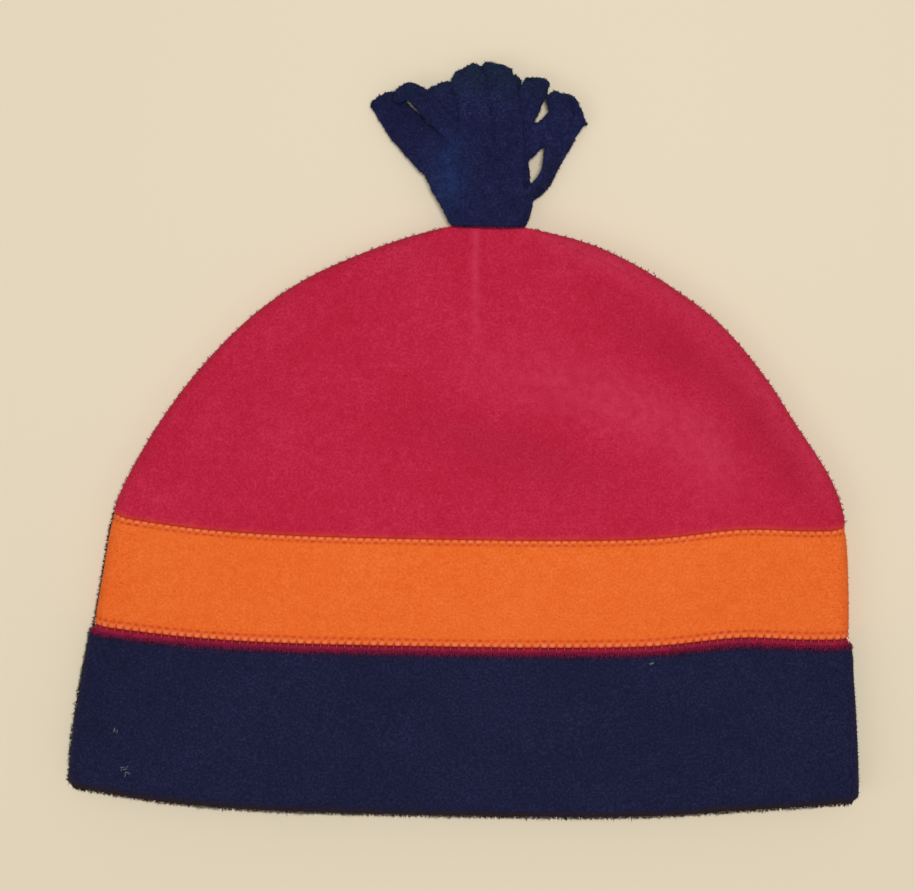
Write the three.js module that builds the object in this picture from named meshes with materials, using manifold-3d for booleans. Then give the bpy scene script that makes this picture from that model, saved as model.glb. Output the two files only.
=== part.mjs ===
// A fleece hat with a rolled fringe tassel, lying flat on its back.
// Millimetres, +Z up. The hat rests on z = 0 with its front upward, its mouth toward -Y, its tassel
// toward +Y and its own left side, as seen from above, toward -X.

import * as THREE from 'three';
import { mergeVertices } from 'three/addons/utils/BufferGeometryUtils.js';
import Module from 'manifold-3d';

const wasm = await Module();
wasm.setup();

// Cloth
const CROWN_CLOTH = 1.8;
const BAND_CLOTH = 1.6;
const CUFF_CLOTH = 2.2;
const TASSEL_CLOTH = 1.9;
const CLEARANCE = 0.3;

// Heights up the middle of the front, from the folded hem at 0
const CUFF_TOP = 51.9;
const BAND_BOTTOM = 54.3;
const BAND_TOP = 87.7;
const CROWN_TOP = 183.4;
const CUFF_LAP = 4.6;
const HEM_Y = -115.3;

// How deep each cloth's outer face lies under the outer skin of the hat
const CROWN_UNDER_CUFF = CUFF_CLOTH + CLEARANCE;
const BAND_FACE = 0.7;
const CROWN_UNDER_BAND = BAND_FACE + BAND_CLOTH + CLEARANCE;
const CROWN_IN_GROOVE = 1.5;
const CROWN_BESIDE_BAND = 1.3;
const CROWN_ALMOST_OUT = 0.2;
const CROWN_RISES = { near: 1.4, far: 5 };
const CUFF_POCKET = 0.4;

// Heights of the cuff's plain rows, between its sewn edge and its hem
const CUFF_HEIGHTS = [36, 24, 12];

// The outer skin: one row for each section across the hat. Each runs from the left outline to the
// right one at the height `side`, `up` is where it crosses the middle, `loft` is the height of the
// front there and `fold` is the radius of the fold at both sides.
const SECTIONS = [
  { name: 'hem', up: 0, side: -110.0, left: -125.8, right: 125.6, loft: 16.4, fold: 5.6 },
  { name: 'low cuff', up: 14, side: -96.3, left: -124.8, right: 124.8, loft: 17.4, fold: 5.6 },
  { name: 'high cuff', up: 32, side: -79.0, left: -122.2, right: 123.3, loft: 18.0, fold: 5.6 },
  { name: 'cuff top', up: CUFF_TOP, side: -60.0, left: -118.7, right: 121.2, loft: 18.1, fold: 5.6 },
  { name: 'band bottom', up: BAND_BOTTOM, side: -57.5, left: -118.2, right: 121.0, loft: 18.1, fold: 5.6 },
  { name: 'mid band', up: 71, side: -40.0, left: -115.3, right: 120.2, loft: 18.0, fold: 5.5 },
  { name: 'band top', up: BAND_TOP, side: -22.4, left: -112.0, right: 118.3, loft: 17.6, fold: 5.2 },
  { name: 'crown 1', up: 100, side: -8.0, left: -105.6, right: 113.1, loft: 17.1, fold: 4.7 },
  { name: 'crown 2', up: 113, side: 9.0, left: -95.5, right: 101.6, loft: 16.6, fold: 4.3 },
  { name: 'crown 3', up: 126, side: 25.0, left: -83.3, right: 90.4, loft: 16.0, fold: 4.2 },
  { name: 'crown 4', up: 139, side: 40.0, left: -68.5, right: 76.8, loft: 15.2, fold: 4.1 },
  { name: 'crown 5', up: 152, side: 51.5, left: -52.2, right: 60.8, loft: 14.0, fold: 4.0 },
  { name: 'crown 6', up: 164, side: 60.0, left: -34.2, right: 45.4, loft: 12.6, fold: 4.0 },
  { name: 'crown 7', up: 174, side: 65.0, left: -20.6, right: 32.2, loft: 10.6, fold: 4.0 },
  { name: 'slot', up: CROWN_TOP, side: 68.5, left: -8.0, right: 16.0, loft: 8.4, fold: 4.0 },
];

// How a section hangs between its two ends, and how its front rises from the side folds
const HANG_LEFT_BELOW_CROWN = 4;
const HANG_RIGHT_BELOW_CROWN = 1.8;
const HANG_RIGHT_AT_HEM = 2.6;
const HANG_CROWN_TOP = 2.2;
const HANG_SETTLES_AT = 151.8;
const RISE_ROUND = 4;
const RISE_SOFT = 1.5;

// Beside the tassel's slot the front's edge straightens, by a steeper hang, and the side folds reach
// out less than they are high, across the hat only.
const SLOT = { changesFrom: 172, hang: 8, reach: 0.5 };

// The cloth drifts up by `lift` around x on the right half, below the crown. It grows from a share
// `atHem` over the height `growsOver` and fades out upwards, and `ends` keeps it off the side folds.
const DRIFT = {
  x: 86, wide: 20, lift: 2.3, atHem: 0.3, growsOver: 30, fadesFrom: 88, fadesOver: 34, ends: 8,
};

// Soft ridges (high above 0) and valleys (high below 0) of the front, turned by `turn` degrees
const FOLDS = [
  { name: 'ridge', x: 24, y: 20, turn: -8, long: 22, wide: 10, high: 1.3 },
  { name: "ridge's bend", x: 56, y: 11, turn: -27, long: 26, wide: 10, high: 1.5 },
  { name: "ridge's end", x: 75, y: -5, turn: -62, long: 18, wide: 9, high: 1.0 },
  { name: 'edge valley', x: 66, y: 29, turn: -33, long: 30, wide: 8, high: -1.1 },
  { name: 'low edge valley', x: 96, y: 0, turn: -50, long: 24, wide: 7, high: -1.3 },
  { name: 'hollow', x: 12, y: 0, turn: -15, long: 32, wide: 9, high: -1.1 },
  { name: 'left swell', x: -62, y: -2, turn: 48, long: 36, wide: 14, high: 0.9 },
  { name: 'band swell', x: 60, y: -42, turn: 4, long: 34, wide: 13, high: 0.8 },
  { name: 'cuff swell', x: -48, y: -88, turn: -6, long: 50, wide: 16, high: 0.8 },
];

// Faces: steps across the front, round each side fold, across the back, up the band, up the crown,
// round the hem, round the tassel's foot and along a strip
const FRONT_STEPS = 20;
const FOLD_STEPS = 4;
const BACK_STEPS = 10;
const BAND_STEPS = 4;
const CROWN_STEPS = 9;
const HEM_STEPS = 6;
const FOOT_SIDES = 20;
const STRIP_STEPS = 8;

// Tassel: a rolled strip of cloth, uncut at its foot and cut into a fringe. Its root is thin where
// the crown grips it.
const ROOT = [
  { y: 59.5, left: -5.8, right: 13.8, thick: 4.0 },
  { y: 64.0, left: -6.6, right: 14.6, thick: 4.0 },
  { y: 68.5, left: -7.0, right: 14.8, thick: 4.0 },
];
const ROOT_MIDDLE = 4.2;

// The foot, one row for each section across it
const FOOT = [
  { y: 68.8, left: -7.6, right: 15.2, thick: 7.8 },
  { y: 72.0, left: -9.4, right: 16.4, thick: 9.2 },
  { y: 76.0, left: -11.6, right: 17.2, thick: 9.6 },
  { y: 80.5, left: -14.2, right: 16.2, thick: 9.2 },
  { y: 85.0, left: -16.2, right: 16.0, thick: 8.0 },
  { y: 88.5, left: -15.5, right: 15.6, thick: 5.0 },
];
const FOOT_MIDDLE = 4.85;
const FOOT_SQUARE = 0.7;
const FOOT_LOBES = 7;
const FOOT_LOBE_SHARE = 0.04;

// The fringe, one row for each strip. Its middle line goes from inside the foot through two places
// to its cut end. `wide` and `end` are its widths before and at the end, which changes it over the
// last share `endsOver` of its length. `rollFrom` and `rollTo` say how far it is rolled about its
// middle line, and `cut` how far its end is off square, in degrees.
const STRIPS = [
  {
    name: 'left low', x: [-6.5, -11.7, -20.2, -29.9], y: [79, 87.8, 96.6, 108], z: [5.6, 5.4, 4, 2.4],
    wide: 12.2, end: 9.6, endsOver: 0.4, rollFrom: -10, rollTo: -8, cut: -9,
  },
  {
    name: 'left arch', x: [-4, -11.6, -19.8, -25.4], y: [94, 101, 109, 107.2], z: [6.4, 7, 6.6, 5.2],
    wide: 6.6, end: 4, endsOver: 0.5, rollFrom: 4, rollTo: 0, cut: 0,
  },
  {
    name: 'centre 1', x: [-5.5, -7.4, -9.6, -12.6], y: [80, 90, 101, 111.6], z: [6.2, 6, 4.8, 3.6],
    wide: 9.6, end: 9, endsOver: 0.4, rollFrom: -4, rollTo: 4, cut: 8,
  },
  {
    name: 'centre 2', x: [1, 0.6, -1.2, -4.2], y: [80, 90, 104, 116.9], z: [7.4, 7.2, 5.4, 3.8],
    wide: 9.8, end: 10.2, endsOver: 0.4, rollFrom: 2, rollTo: 6, cut: 9,
  },
  {
    name: 'centre 3', x: [10, 10.1, 9, 5.6], y: [80, 90, 104, 118.2], z: [7.4, 7.4, 6, 4.4],
    wide: 9.2, end: 9.2, endsOver: 0.4, rollFrom: -2, rollTo: -4, cut: -19,
  },
  {
    name: 'centre 4', x: [7.5, 8.5, 9, 9.4], y: [80, 90, 103, 115.7], z: [5, 4.4, 3.4, 2.4],
    wide: 9.2, end: 8.4, endsOver: 0.4, rollFrom: 0, rollTo: 4, cut: -4,
  },
  {
    name: 'right 1', x: [11.6, 11.8, 13.8, 18.6], y: [80, 90, 102, 114.2], z: [5.6, 5.4, 4.8, 4],
    wide: 8.4, end: 8.4, endsOver: 0.3, rollFrom: 8, rollTo: 2, cut: 12,
  },
  {
    name: 'right 2', x: [9, 16, 25, 24.2], y: [87, 94.5, 101.8, 109.7], z: [4.6, 4.4, 5.2, 5],
    wide: 7.8, end: 6.8, endsOver: 0.3, rollFrom: 6, rollTo: 4, cut: -3,
  },
  {
    name: 'right bow', x: [12.8, 20.8, 25.2, 31.4], y: [76, 83, 94.6, 105.9], z: [4.6, 4.6, 3.6, 3.4],
    wide: 8.2, end: 10.2, endsOver: 0.13, rollFrom: 62, rollTo: 4, cut: -24,
  },
  {
    name: 'under left', x: [-4, -5.5, -6.8, -8.4], y: [80, 90, 100, 112], z: [3.4, 2.6, 1.6, 1.2],
    wide: 9.4, end: 8.8, endsOver: 0.4, rollFrom: 0, rollTo: 0, cut: 6,
  },
  {
    name: 'under centre', x: [3, 3, 2.6, 1], y: [80, 90, 102, 115.4], z: [3.2, 2.4, 1.4, 1.2],
    wide: 9.4, end: 8.8, endsOver: 0.4, rollFrom: 0, rollTo: 0, cut: -4,
  },
  {
    name: 'under right', x: [9, 10.5, 12, 14.4], y: [80, 90, 100, 111.5], z: [3.2, 2.4, 1.4, 1.2],
    wide: 9.4, end: 8.8, endsOver: 0.4, rollFrom: 0, rollTo: 0, cut: 5,
  },
];
const ROLL_CHANGES = { from: 0.35, to: 0.85 };

// Moves the finished hat so that the middle of its outline stands over the origin
const CENTRE_SHIFT = { x: 0.1, y: -1.8 };

// Steps for slopes: along the hat in mm and around it as a share
const TINY = 0.05;
const TINY_AROUND = 0.005;

const fleece = (colour) => new THREE.MeshStandardMaterial({ color: colour, roughness: 0.95, metalness: 0 });

const { clamp, degToRad, lerp: mix, smoothstep } = THREE.MathUtils;

// A column of the section table as a smooth curve over the height `up`.
function column(key, up) {
  const last = SECTIONS.length - 1;
  let i = SECTIONS.findIndex((row) => row.up >= up) - 1;
  if (up >= SECTIONS[last].up) i = last - 1;
  i = clamp(i, 0, last - 1);
  const slope = (k) => {
    const from = SECTIONS[Math.max(k - 1, 0)];
    const to = SECTIONS[Math.min(k + 1, last)];
    return (to[key] - from[key]) / (to.up - from.up);
  };
  const a = SECTIONS[i];
  const b = SECTIONS[i + 1];
  const step = b.up - a.up;
  const t = clamp((up - a.up) / step, 0, 1);
  const rise = t * t * (3 - 2 * t);
  return a[key] + (b[key] - a[key]) * rise
    + step * slope(i) * t * (1 - t) * (1 - t)
    - step * slope(i + 1) * t * t * (1 - t);
}

// The side outline seen from above: a point of it and the direction that faces out of the hat.
function sideOf(key, up) {
  const low = Math.max(up - TINY, 0);
  const high = Math.min(up + TINY, CROWN_TOP);
  const dx = column(key, high) - column(key, low);
  const dy = column('side', high) - column('side', low);
  const length = Math.hypot(dx, dy);
  const turn = key === 'right' ? 1 : -1;
  return {
    x: column(key, up),
    y: column('side', up),
    outX: turn * dy / length,
    outY: -turn * dx / length,
  };
}

// Height that the soft ridges and valleys add at a place of the front.
function foldHeight(x, y) {
  let sum = 0;
  for (const fold of FOLDS) {
    const turn = degToRad(fold.turn);
    const along = (x - fold.x) * Math.cos(turn) + (y - fold.y) * Math.sin(turn);
    const across = (y - fold.y) * Math.cos(turn) - (x - fold.x) * Math.sin(turn);
    sum += fold.high * Math.exp(-((along / fold.long) ** 2) - (across / fold.wide) ** 2);
  }
  return sum;
}

// A point of the outer skin. `around` runs from 0 to 4: across the front from left to right, round
// the right fold, across the back to the left and round the left fold.
function skin(up, around) {
  const fold = column('fold', up);
  const left = sideOf('left', up);
  const right = sideOf('right', up);
  const leg = Math.floor(around) % 4;
  const t = around - Math.floor(around);
  const atSlot = smoothstep(up, SLOT.changesFrom, CROWN_TOP);
  const reachX = fold * mix(1, SLOT.reach, atSlot);
  const reachY = fold * (1 - atSlot);
  if (leg === 1 || leg === 3) {
    const side = leg === 1 ? right : left;
    const angle = leg === 1 ? Math.PI * (0.5 - t) : Math.PI * (t - 0.5);
    const back = Math.cos(angle) - 1;
    const z = fold + fold * Math.sin(angle);
    return new THREE.Vector3(side.x + back * reachX * side.outX, side.y + back * reachY * side.outY, z);
  }
  const across = leg === 0 ? t : 1 - t;
  const s = 2 * across - 1;
  const leftY = left.y - reachY * left.outY;
  const rightY = right.y - reachY * right.outY;
  const x = mix(left.x - reachX * left.outX, right.x - reachX * right.outX, across);
  const inCrown = smoothstep(up, BAND_TOP, HANG_SETTLES_AT);
  const offHem = smoothstep(up, 0, DRIFT.growsOver);
  const belowRight = mix(HANG_RIGHT_AT_HEM, HANG_RIGHT_BELOW_CROWN, offHem);
  const below = s < 0 ? HANG_LEFT_BELOW_CROWN : belowRight;
  const hang = 1 - Math.abs(s) ** mix(mix(below, HANG_CROWN_TOP, inCrown), SLOT.hang, atSlot);
  const fade = smoothstep(DRIFT.fadesFrom + DRIFT.fadesOver - up, 0, DRIFT.fadesOver);
  const inside = 1 - Math.abs(s) ** DRIFT.ends;
  const most = DRIFT.lift * fade * mix(DRIFT.atHem, 1, offHem);
  const drift = most * inside * Math.exp(-(((x - DRIFT.x) / DRIFT.wide) ** 2));
  const y = mix(leftY, rightY, across) + (HEM_Y + up - (leftY + rightY) / 2) * hang + drift;
  if (leg === 2) return new THREE.Vector3(x, y, 0);
  const rise = (1 - Math.abs(s) ** RISE_ROUND) ** RISE_SOFT;
  const z = 2 * fold + (column('loft', up) - 2 * fold + foldHeight(x, y)) * rise;
  return new THREE.Vector3(x, y, z);
}

// The direction out of the skin, from the four points close round a place.
function outward(up, around) {
  const here = skin(up, around);
  const before = here.clone().sub(skin(up, (around + 4 - TINY_AROUND) % 4)).normalize();
  const after = skin(up, (around + TINY_AROUND) % 4).sub(here).normalize();
  const climb = skin(Math.min(up + TINY, CROWN_TOP), around).sub(skin(Math.max(up - TINY, 0), around));
  return before.add(after).cross(climb).normalize();
}

// A place in the cloth: `up` the hat, `around` it and `depth` under the skin.
function inCloth(up, around, depth) {
  return skin(up, around).addScaledVector(outward(up, around), -depth);
}

function closedGeometry(positions, faces) {
  const geometry = new THREE.BufferGeometry();
  geometry.setAttribute('position', new THREE.Float32BufferAttribute(positions, 3));
  geometry.setIndex(faces);
  return geometry;
}

// One layer of cloth. Each row holds its face and its back as [up, depth], and the columns say how
// far round the hat it runs. A ring closes on itself, and a panel gets an edge at both ends.
function layer(rows, columns, isRing) {
  const positions = [];
  const faces = [];
  const count = columns.length;
  for (const row of rows) {
    for (const [up, depth] of [row.face, row.back]) {
      for (const around of columns) positions.push(...inCloth(up, around, depth).toArray());
    }
  }
  const face = (i, j) => 2 * i * count + (j % count);
  const back = (i, j) => (2 * i + 1) * count + (j % count);
  const quad = (a, b, c, d) => faces.push(a, b, c, a, c, d);
  const last = rows.length - 1;
  const spans = isRing ? count : count - 1;
  for (let j = 0; j < spans; j += 1) {
    for (let i = 0; i < last; i += 1) {
      quad(face(i, j), face(i, j + 1), face(i + 1, j + 1), face(i + 1, j));
      quad(back(i, j), back(i + 1, j), back(i + 1, j + 1), back(i, j + 1));
    }
    quad(face(0, j), back(0, j), back(0, j + 1), face(0, j + 1));
    quad(face(last, j), face(last, j + 1), back(last, j + 1), back(last, j));
  }
  if (!isRing) {
    for (let i = 0; i < last; i += 1) {
      quad(face(i, 0), face(i + 1, 0), back(i + 1, 0), back(i, 0));
      quad(face(i, spans), back(i, spans), back(i + 1, spans), face(i + 1, spans));
    }
  }
  return closedGeometry(positions, faces);
}

const steps = (from, to, count) => Array.from({ length: count + 1 }, (_, k) => mix(from, to, k / count));

// The whole way round, without the last place, which is the first again
const AROUND = [
  ...steps(0, 1, FRONT_STEPS),
  ...steps(1, 2, FOLD_STEPS).slice(1),
  ...steps(2, 3, BACK_STEPS).slice(1),
  ...steps(3, 4, FOLD_STEPS).slice(1, -1),
];

// Crown panels meet at the middle of each side fold, which is about FOLD_ARC long round its arc
const FOLD_ARC = 14;
const SEAM_SHARE = CLEARANCE / 2 / FOLD_ARC;
const FRONT_PANEL = [
  ...steps(3.5 + SEAM_SHARE, 4, FOLD_STEPS / 2).slice(0, -1),
  ...steps(0, 1, FRONT_STEPS),
  ...steps(1, 1.5 - SEAM_SHARE, FOLD_STEPS / 2).slice(1),
];
const BACK_PANEL = [
  ...steps(1.5 + SEAM_SHARE, 2, FOLD_STEPS / 2),
  ...steps(2, 3, BACK_STEPS).slice(1),
  ...steps(3, 3.5 - SEAM_SHARE, FOLD_STEPS / 2).slice(1),
];

// How deep the crown's face lies at each height: under the cuff, proud in the groove, under the
// band, then out to the skin.
const BAND_HEIGHTS = steps(BAND_BOTTOM, BAND_TOP, BAND_STEPS);
const CROWN_OUT_AT = 100;
const CROWN_LAST_BEND = 177;
const CROWN_ROWS = [
  [CUFF_TOP - CUFF_LAP, CROWN_UNDER_CUFF],
  [CUFF_TOP, CROWN_UNDER_CUFF],
  [(CUFF_TOP + BAND_BOTTOM) / 2, CROWN_IN_GROOVE],
  ...BAND_HEIGHTS.map((up) => [up, CROWN_UNDER_BAND]),
  [BAND_TOP + CROWN_RISES.near, CROWN_BESIDE_BAND],
  [BAND_TOP + CROWN_RISES.far, CROWN_ALMOST_OUT],
  ...steps(CROWN_OUT_AT, CROWN_LAST_BEND, CROWN_STEPS).map((up) => [up, 0]),
  [CROWN_TOP, 0],
].map(([up, depth]) => ({ face: [up, depth], back: [up, depth + CROWN_CLOTH] }));

const BAND_ROWS = BAND_HEIGHTS.map((up) => ({
  face: [up, BAND_FACE],
  back: [up, BAND_FACE + BAND_CLOTH],
}));

// The cuff: down its outer layer, round the folded hem and up its inner layer to the crown's edge.
function cuffRows() {
  const outerHalf = CUFF_CLOTH + CUFF_POCKET / 2;
  const pocketHalf = CUFF_POCKET / 2;
  const rows = [CUFF_TOP, CUFF_TOP - CUFF_LAP, ...CUFF_HEIGHTS]
    .map((up) => ({ face: [up, 0], back: [up, CUFF_CLOTH] }));
  for (const turn of steps(0, Math.PI, HEM_STEPS)) {
    const around = (radius) => [outerHalf - radius * Math.sin(turn), outerHalf - radius * Math.cos(turn)];
    rows.push({ face: around(outerHalf), back: around(pocketHalf) });
  }
  for (const up of [...CUFF_HEIGHTS.toReversed(), CUFF_TOP - CUFF_LAP - CLEARANCE]) {
    rows.push({ face: [up, 2 * outerHalf], back: [up, 2 * outerHalf - CUFF_CLOTH] });
  }
  return rows.reverse();
}

function solidOf(geometry) {
  const clean = geometry.clone();
  clean.deleteAttribute('normal');
  clean.deleteAttribute('uv');
  const merged = mergeVertices(clean, 1e-4);
  return new wasm.Manifold(new wasm.Mesh({
    numProp: 3,
    vertProperties: merged.attributes.position.array,
    triVerts: new Uint32Array(merged.index.array),
  }));
}

function geometryOf(solid) {
  const mesh = solid.getMesh();
  return closedGeometry(mesh.vertProperties, Array.from(mesh.triVerts));
}

// A closed tube through rings of points, with a fan over each end.
function loft(rings) {
  const positions = [];
  const faces = [];
  const count = rings[0].length;
  for (const ring of rings) {
    for (const point of ring) positions.push(...point.toArray());
  }
  for (let i = 0; i < rings.length - 1; i += 1) {
    for (let j = 0; j < count; j += 1) {
      const next = (j + 1) % count;
      const a = i * count + j;
      const b = i * count + next;
      faces.push(a, b + count, b, a, a + count, b + count);
    }
  }
  const end = (rings.length - 1) * count;
  for (let j = 1; j < count - 1; j += 1) {
    faces.push(0, j, j + 1);
    faces.push(end, end + j + 1, end + j);
  }
  return closedGeometry(positions, faces);
}

// A rounded flat section across the tassel's foot, with low lobes where the cloth is rolled
function footSection({ y, left, right, thick }, middle, lobes) {
  return Array.from({ length: FOOT_SIDES }, (_, k) => {
    const turn = (2 * Math.PI * k) / FOOT_SIDES;
    const swell = 1 + lobes * Math.cos(FOOT_LOBES * turn);
    const across = Math.sign(Math.cos(turn)) * Math.abs(Math.cos(turn)) ** FOOT_SQUARE;
    const x = (left + right) / 2 + ((right - left) / 2) * across * swell;
    const z = middle + (thick / 2) * Math.sin(turn) * swell;
    return new THREE.Vector3(x, y, z);
  });
}

// The rolled foot of the tassel, with its thin root inside the crown
function tasselFoot() {
  const root = ROOT.map((row) => footSection(row, ROOT_MIDDLE, 0));
  return loft([...root, ...FOOT.map((row) => footSection(row, FOOT_MIDDLE, FOOT_LOBE_SHARE))]);
}

// One strip of the fringe: a flat ribbon along a bent line
function tasselStrip(strip) {
  const points = strip.x.map((x, k) => new THREE.Vector3(x, strip.y[k], strip.z[k]));
  const line = new THREE.CatmullRomCurve3(points, false, 'catmullrom');
  const rings = steps(0, 1, STRIP_STEPS).map((t) => {
    const along = line.getTangent(t);
    const rolled = smoothstep(t, ROLL_CHANGES.from, ROLL_CHANGES.to);
    const ended = smoothstep(t, 1 - strip.endsOver, 1);
    const half = mix(strip.wide, strip.end, ended) / 2;
    const across = new THREE.Vector3(along.y, -along.x, 0).normalize();
    across.applyAxisAngle(along, degToRad(mix(strip.rollFrom, strip.rollTo, rolled)));
    const off = new THREE.Vector3().crossVectors(across, along).normalize();
    const skew = Math.tan(degToRad(strip.cut)) * ended;
    const middle = line.getPoint(t);
    return [[-1, -1], [1, -1], [1, 1], [-1, 1]].map(([a, b]) => middle.clone()
      .addScaledVector(across, a * half)
      .addScaledVector(along, a * half * skew)
      .addScaledVector(off, (b * TASSEL_CLOTH) / 2));
  });
  return loft(rings);
}

function tasselGeometry() {
  let whole = solidOf(tasselFoot());
  for (const strip of STRIPS) whole = whole.add(solidOf(tasselStrip(strip)));
  return geometryOf(whole);
}

function piece(name, geometry, colour) {
  const mesh = new THREE.Mesh(geometry, fleece(colour));
  mesh.name = name;
  return mesh;
}

const CRIMSON = '#ba243e';
const ORANGE = '#e7682a';
const NAVY = '#1e203a';

const hat = new THREE.Group();
hat.add(piece('crown_front', layer(CROWN_ROWS, FRONT_PANEL, false), CRIMSON));
hat.add(piece('crown_back', layer(CROWN_ROWS, BACK_PANEL, false), CRIMSON));
hat.add(piece('band', layer(BAND_ROWS, AROUND, true), ORANGE));
hat.add(piece('cuff', layer(cuffRows(), AROUND, true), NAVY));
hat.add(piece('tassel', tasselGeometry(), NAVY));
hat.position.set(CENTRE_SHIFT.x, CENTRE_SHIFT.y, 0);

const group = new THREE.Group();
group.add(hat);

export default group;
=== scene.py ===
# %% [markdown]
# A child's fleece hat lies flat on its back: a crimson crown of two panels, an orange band stitched
# over it at both edges, a doubled navy cuff folded at the hem, and a navy tassel cut into a fringe.
# The solids that carry the hat are loaded first, and every piece below stands where they stand.

# %% The frame
import math
from collections import namedtuple

import bpy
import numpy as np
from mathutils import Matrix, Vector


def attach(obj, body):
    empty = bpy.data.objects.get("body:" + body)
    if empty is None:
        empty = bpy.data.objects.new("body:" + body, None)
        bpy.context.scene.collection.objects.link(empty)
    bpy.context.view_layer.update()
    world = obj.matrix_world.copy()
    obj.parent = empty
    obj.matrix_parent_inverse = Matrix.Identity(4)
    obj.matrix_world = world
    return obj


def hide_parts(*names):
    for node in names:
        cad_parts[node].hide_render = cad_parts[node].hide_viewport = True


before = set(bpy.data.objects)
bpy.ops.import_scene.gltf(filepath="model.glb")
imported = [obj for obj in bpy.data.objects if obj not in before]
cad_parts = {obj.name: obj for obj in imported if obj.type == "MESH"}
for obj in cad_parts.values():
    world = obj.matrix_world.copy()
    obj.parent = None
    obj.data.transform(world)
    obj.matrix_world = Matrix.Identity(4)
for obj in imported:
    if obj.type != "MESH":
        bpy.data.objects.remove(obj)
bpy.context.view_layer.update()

BODY = "root"
MM = 0.001

# %% [markdown]
# The camera comes first, because everything is seen through it. It stands nearly straight above
# the hat and leans a few degrees toward the tassel, with a slight roll, on a lens long enough to
# keep the hem and the crown at one scale. It could be placed by hand and aimed with a constraint.
# Here its place follows from the tilt, the roll and the distance, so each can be changed alone.

# %% Camera
IMAGE_WIDE = 915
LENS_MM = 70.0
SENSOR_MM = 36.0
CLIP_START = 0.01
CAMERA_FAR = 562.0
CAMERA_TILT = math.radians(5.1)
CAMERA_ROLL = math.radians(1.12)
AIM = Vector((-4.1, -1.8, 0.0))


def add_camera():
    """Makes the scene's camera and prints how many millimetres one pixel covers at the hat."""
    looking = Vector((0, -math.sin(CAMERA_TILT), -math.cos(CAMERA_TILT)))
    level_right = Vector((1, 0, 0))
    level_up = level_right.cross(looking)
    right = math.cos(CAMERA_ROLL) * level_right + math.sin(CAMERA_ROLL) * level_up
    up = right.cross(looking)
    place = (AIM - CAMERA_FAR * looking) * MM
    data = bpy.data.cameras.new("camera")
    data.lens = LENS_MM
    data.sensor_width = SENSOR_MM
    data.clip_start = CLIP_START
    camera = bpy.data.objects.new("camera", data)
    turn = Matrix((right, up, -looking)).transposed().to_4x4()
    camera.matrix_world = Matrix.Translation(place) @ turn
    bpy.context.scene.collection.objects.link(camera)
    bpy.context.scene.camera = camera
    print("camera covers", round(SENSOR_MM / LENS_MM * CAMERA_FAR / IMAGE_WIDE, 4), "mm a pixel")


add_camera()

# %% [markdown]
# Everything soft here follows one skin: the outside of the flat hat. It could be sculpted, or a
# tube of cloth could be simulated until it collapses. A section across the hat is a closed loop
# that crosses the front, turns round the right fold, comes back along the floor and turns round the
# left fold. A short table says how wide, how high and how round the sections are, and a smooth
# curve through each of its columns gives every section between. Writing the shape as a rule lets
# each cloth be laid at its own depth under the same skin.

# %% The sections of the hat
CUFF_TOP = 51.9
BAND_BOTTOM = 54.3
BAND_TOP = 87.7
CROWN_TOP = 183.4
CUFF_LAP = 4.6
HEM_Y = -115.3
SHIFT = np.array((0.1, -1.8, 0.0))

Section = namedtuple("Section", "up side left right loft fold")
SECTIONS = (
    Section(up=0, side=-110.0, left=-125.8, right=125.6, loft=16.4, fold=5.6),
    Section(up=14, side=-96.3, left=-124.8, right=124.8, loft=17.4, fold=5.6),
    Section(up=32, side=-79.0, left=-122.2, right=123.3, loft=18.0, fold=5.6),
    Section(up=CUFF_TOP, side=-60.0, left=-118.7, right=121.2, loft=18.1, fold=5.6),
    Section(up=BAND_BOTTOM, side=-57.5, left=-118.2, right=121.0, loft=18.1, fold=5.6),
    Section(up=71, side=-40.0, left=-115.3, right=120.2, loft=18.0, fold=5.5),
    Section(up=BAND_TOP, side=-22.4, left=-112.0, right=118.3, loft=17.6, fold=5.2),
    Section(up=100, side=-8.0, left=-105.6, right=113.1, loft=17.1, fold=4.7),
    Section(up=113, side=9.0, left=-95.5, right=101.6, loft=16.6, fold=4.3),
    Section(up=126, side=25.0, left=-83.3, right=90.4, loft=16.0, fold=4.2),
    Section(up=139, side=40.0, left=-68.5, right=76.8, loft=15.2, fold=4.1),
    Section(up=152, side=51.5, left=-52.2, right=60.8, loft=14.0, fold=4.0),
    Section(up=164, side=60.0, left=-34.2, right=45.4, loft=12.6, fold=4.0),
    Section(up=174, side=65.0, left=-20.6, right=32.2, loft=10.6, fold=4.0),
    Section(up=CROWN_TOP, side=68.5, left=-8.0, right=16.0, loft=8.4, fold=4.0),
)
HANG_LEFT_BELOW_CROWN = 4.0
HANG_RIGHT_BELOW_CROWN = 1.8
HANG_RIGHT_AT_HEM = 2.6
HANG_CROWN_TOP = 2.2
HANG_SETTLES_AT = 151.8
RISE_ROUND = 4
RISE_SOFT = 1.5

Slot = namedtuple("Slot", "changes_from hang reach")
SLOT = Slot(changes_from=172, hang=8, reach=0.5)

Drift = namedtuple("Drift", "x wide lift at_hem grows_over fades_from fades_over ends")
DRIFT = Drift(x=86, wide=20, lift=2.3, at_hem=0.3, grows_over=30, fades_from=88, fades_over=34, ends=8)

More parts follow.
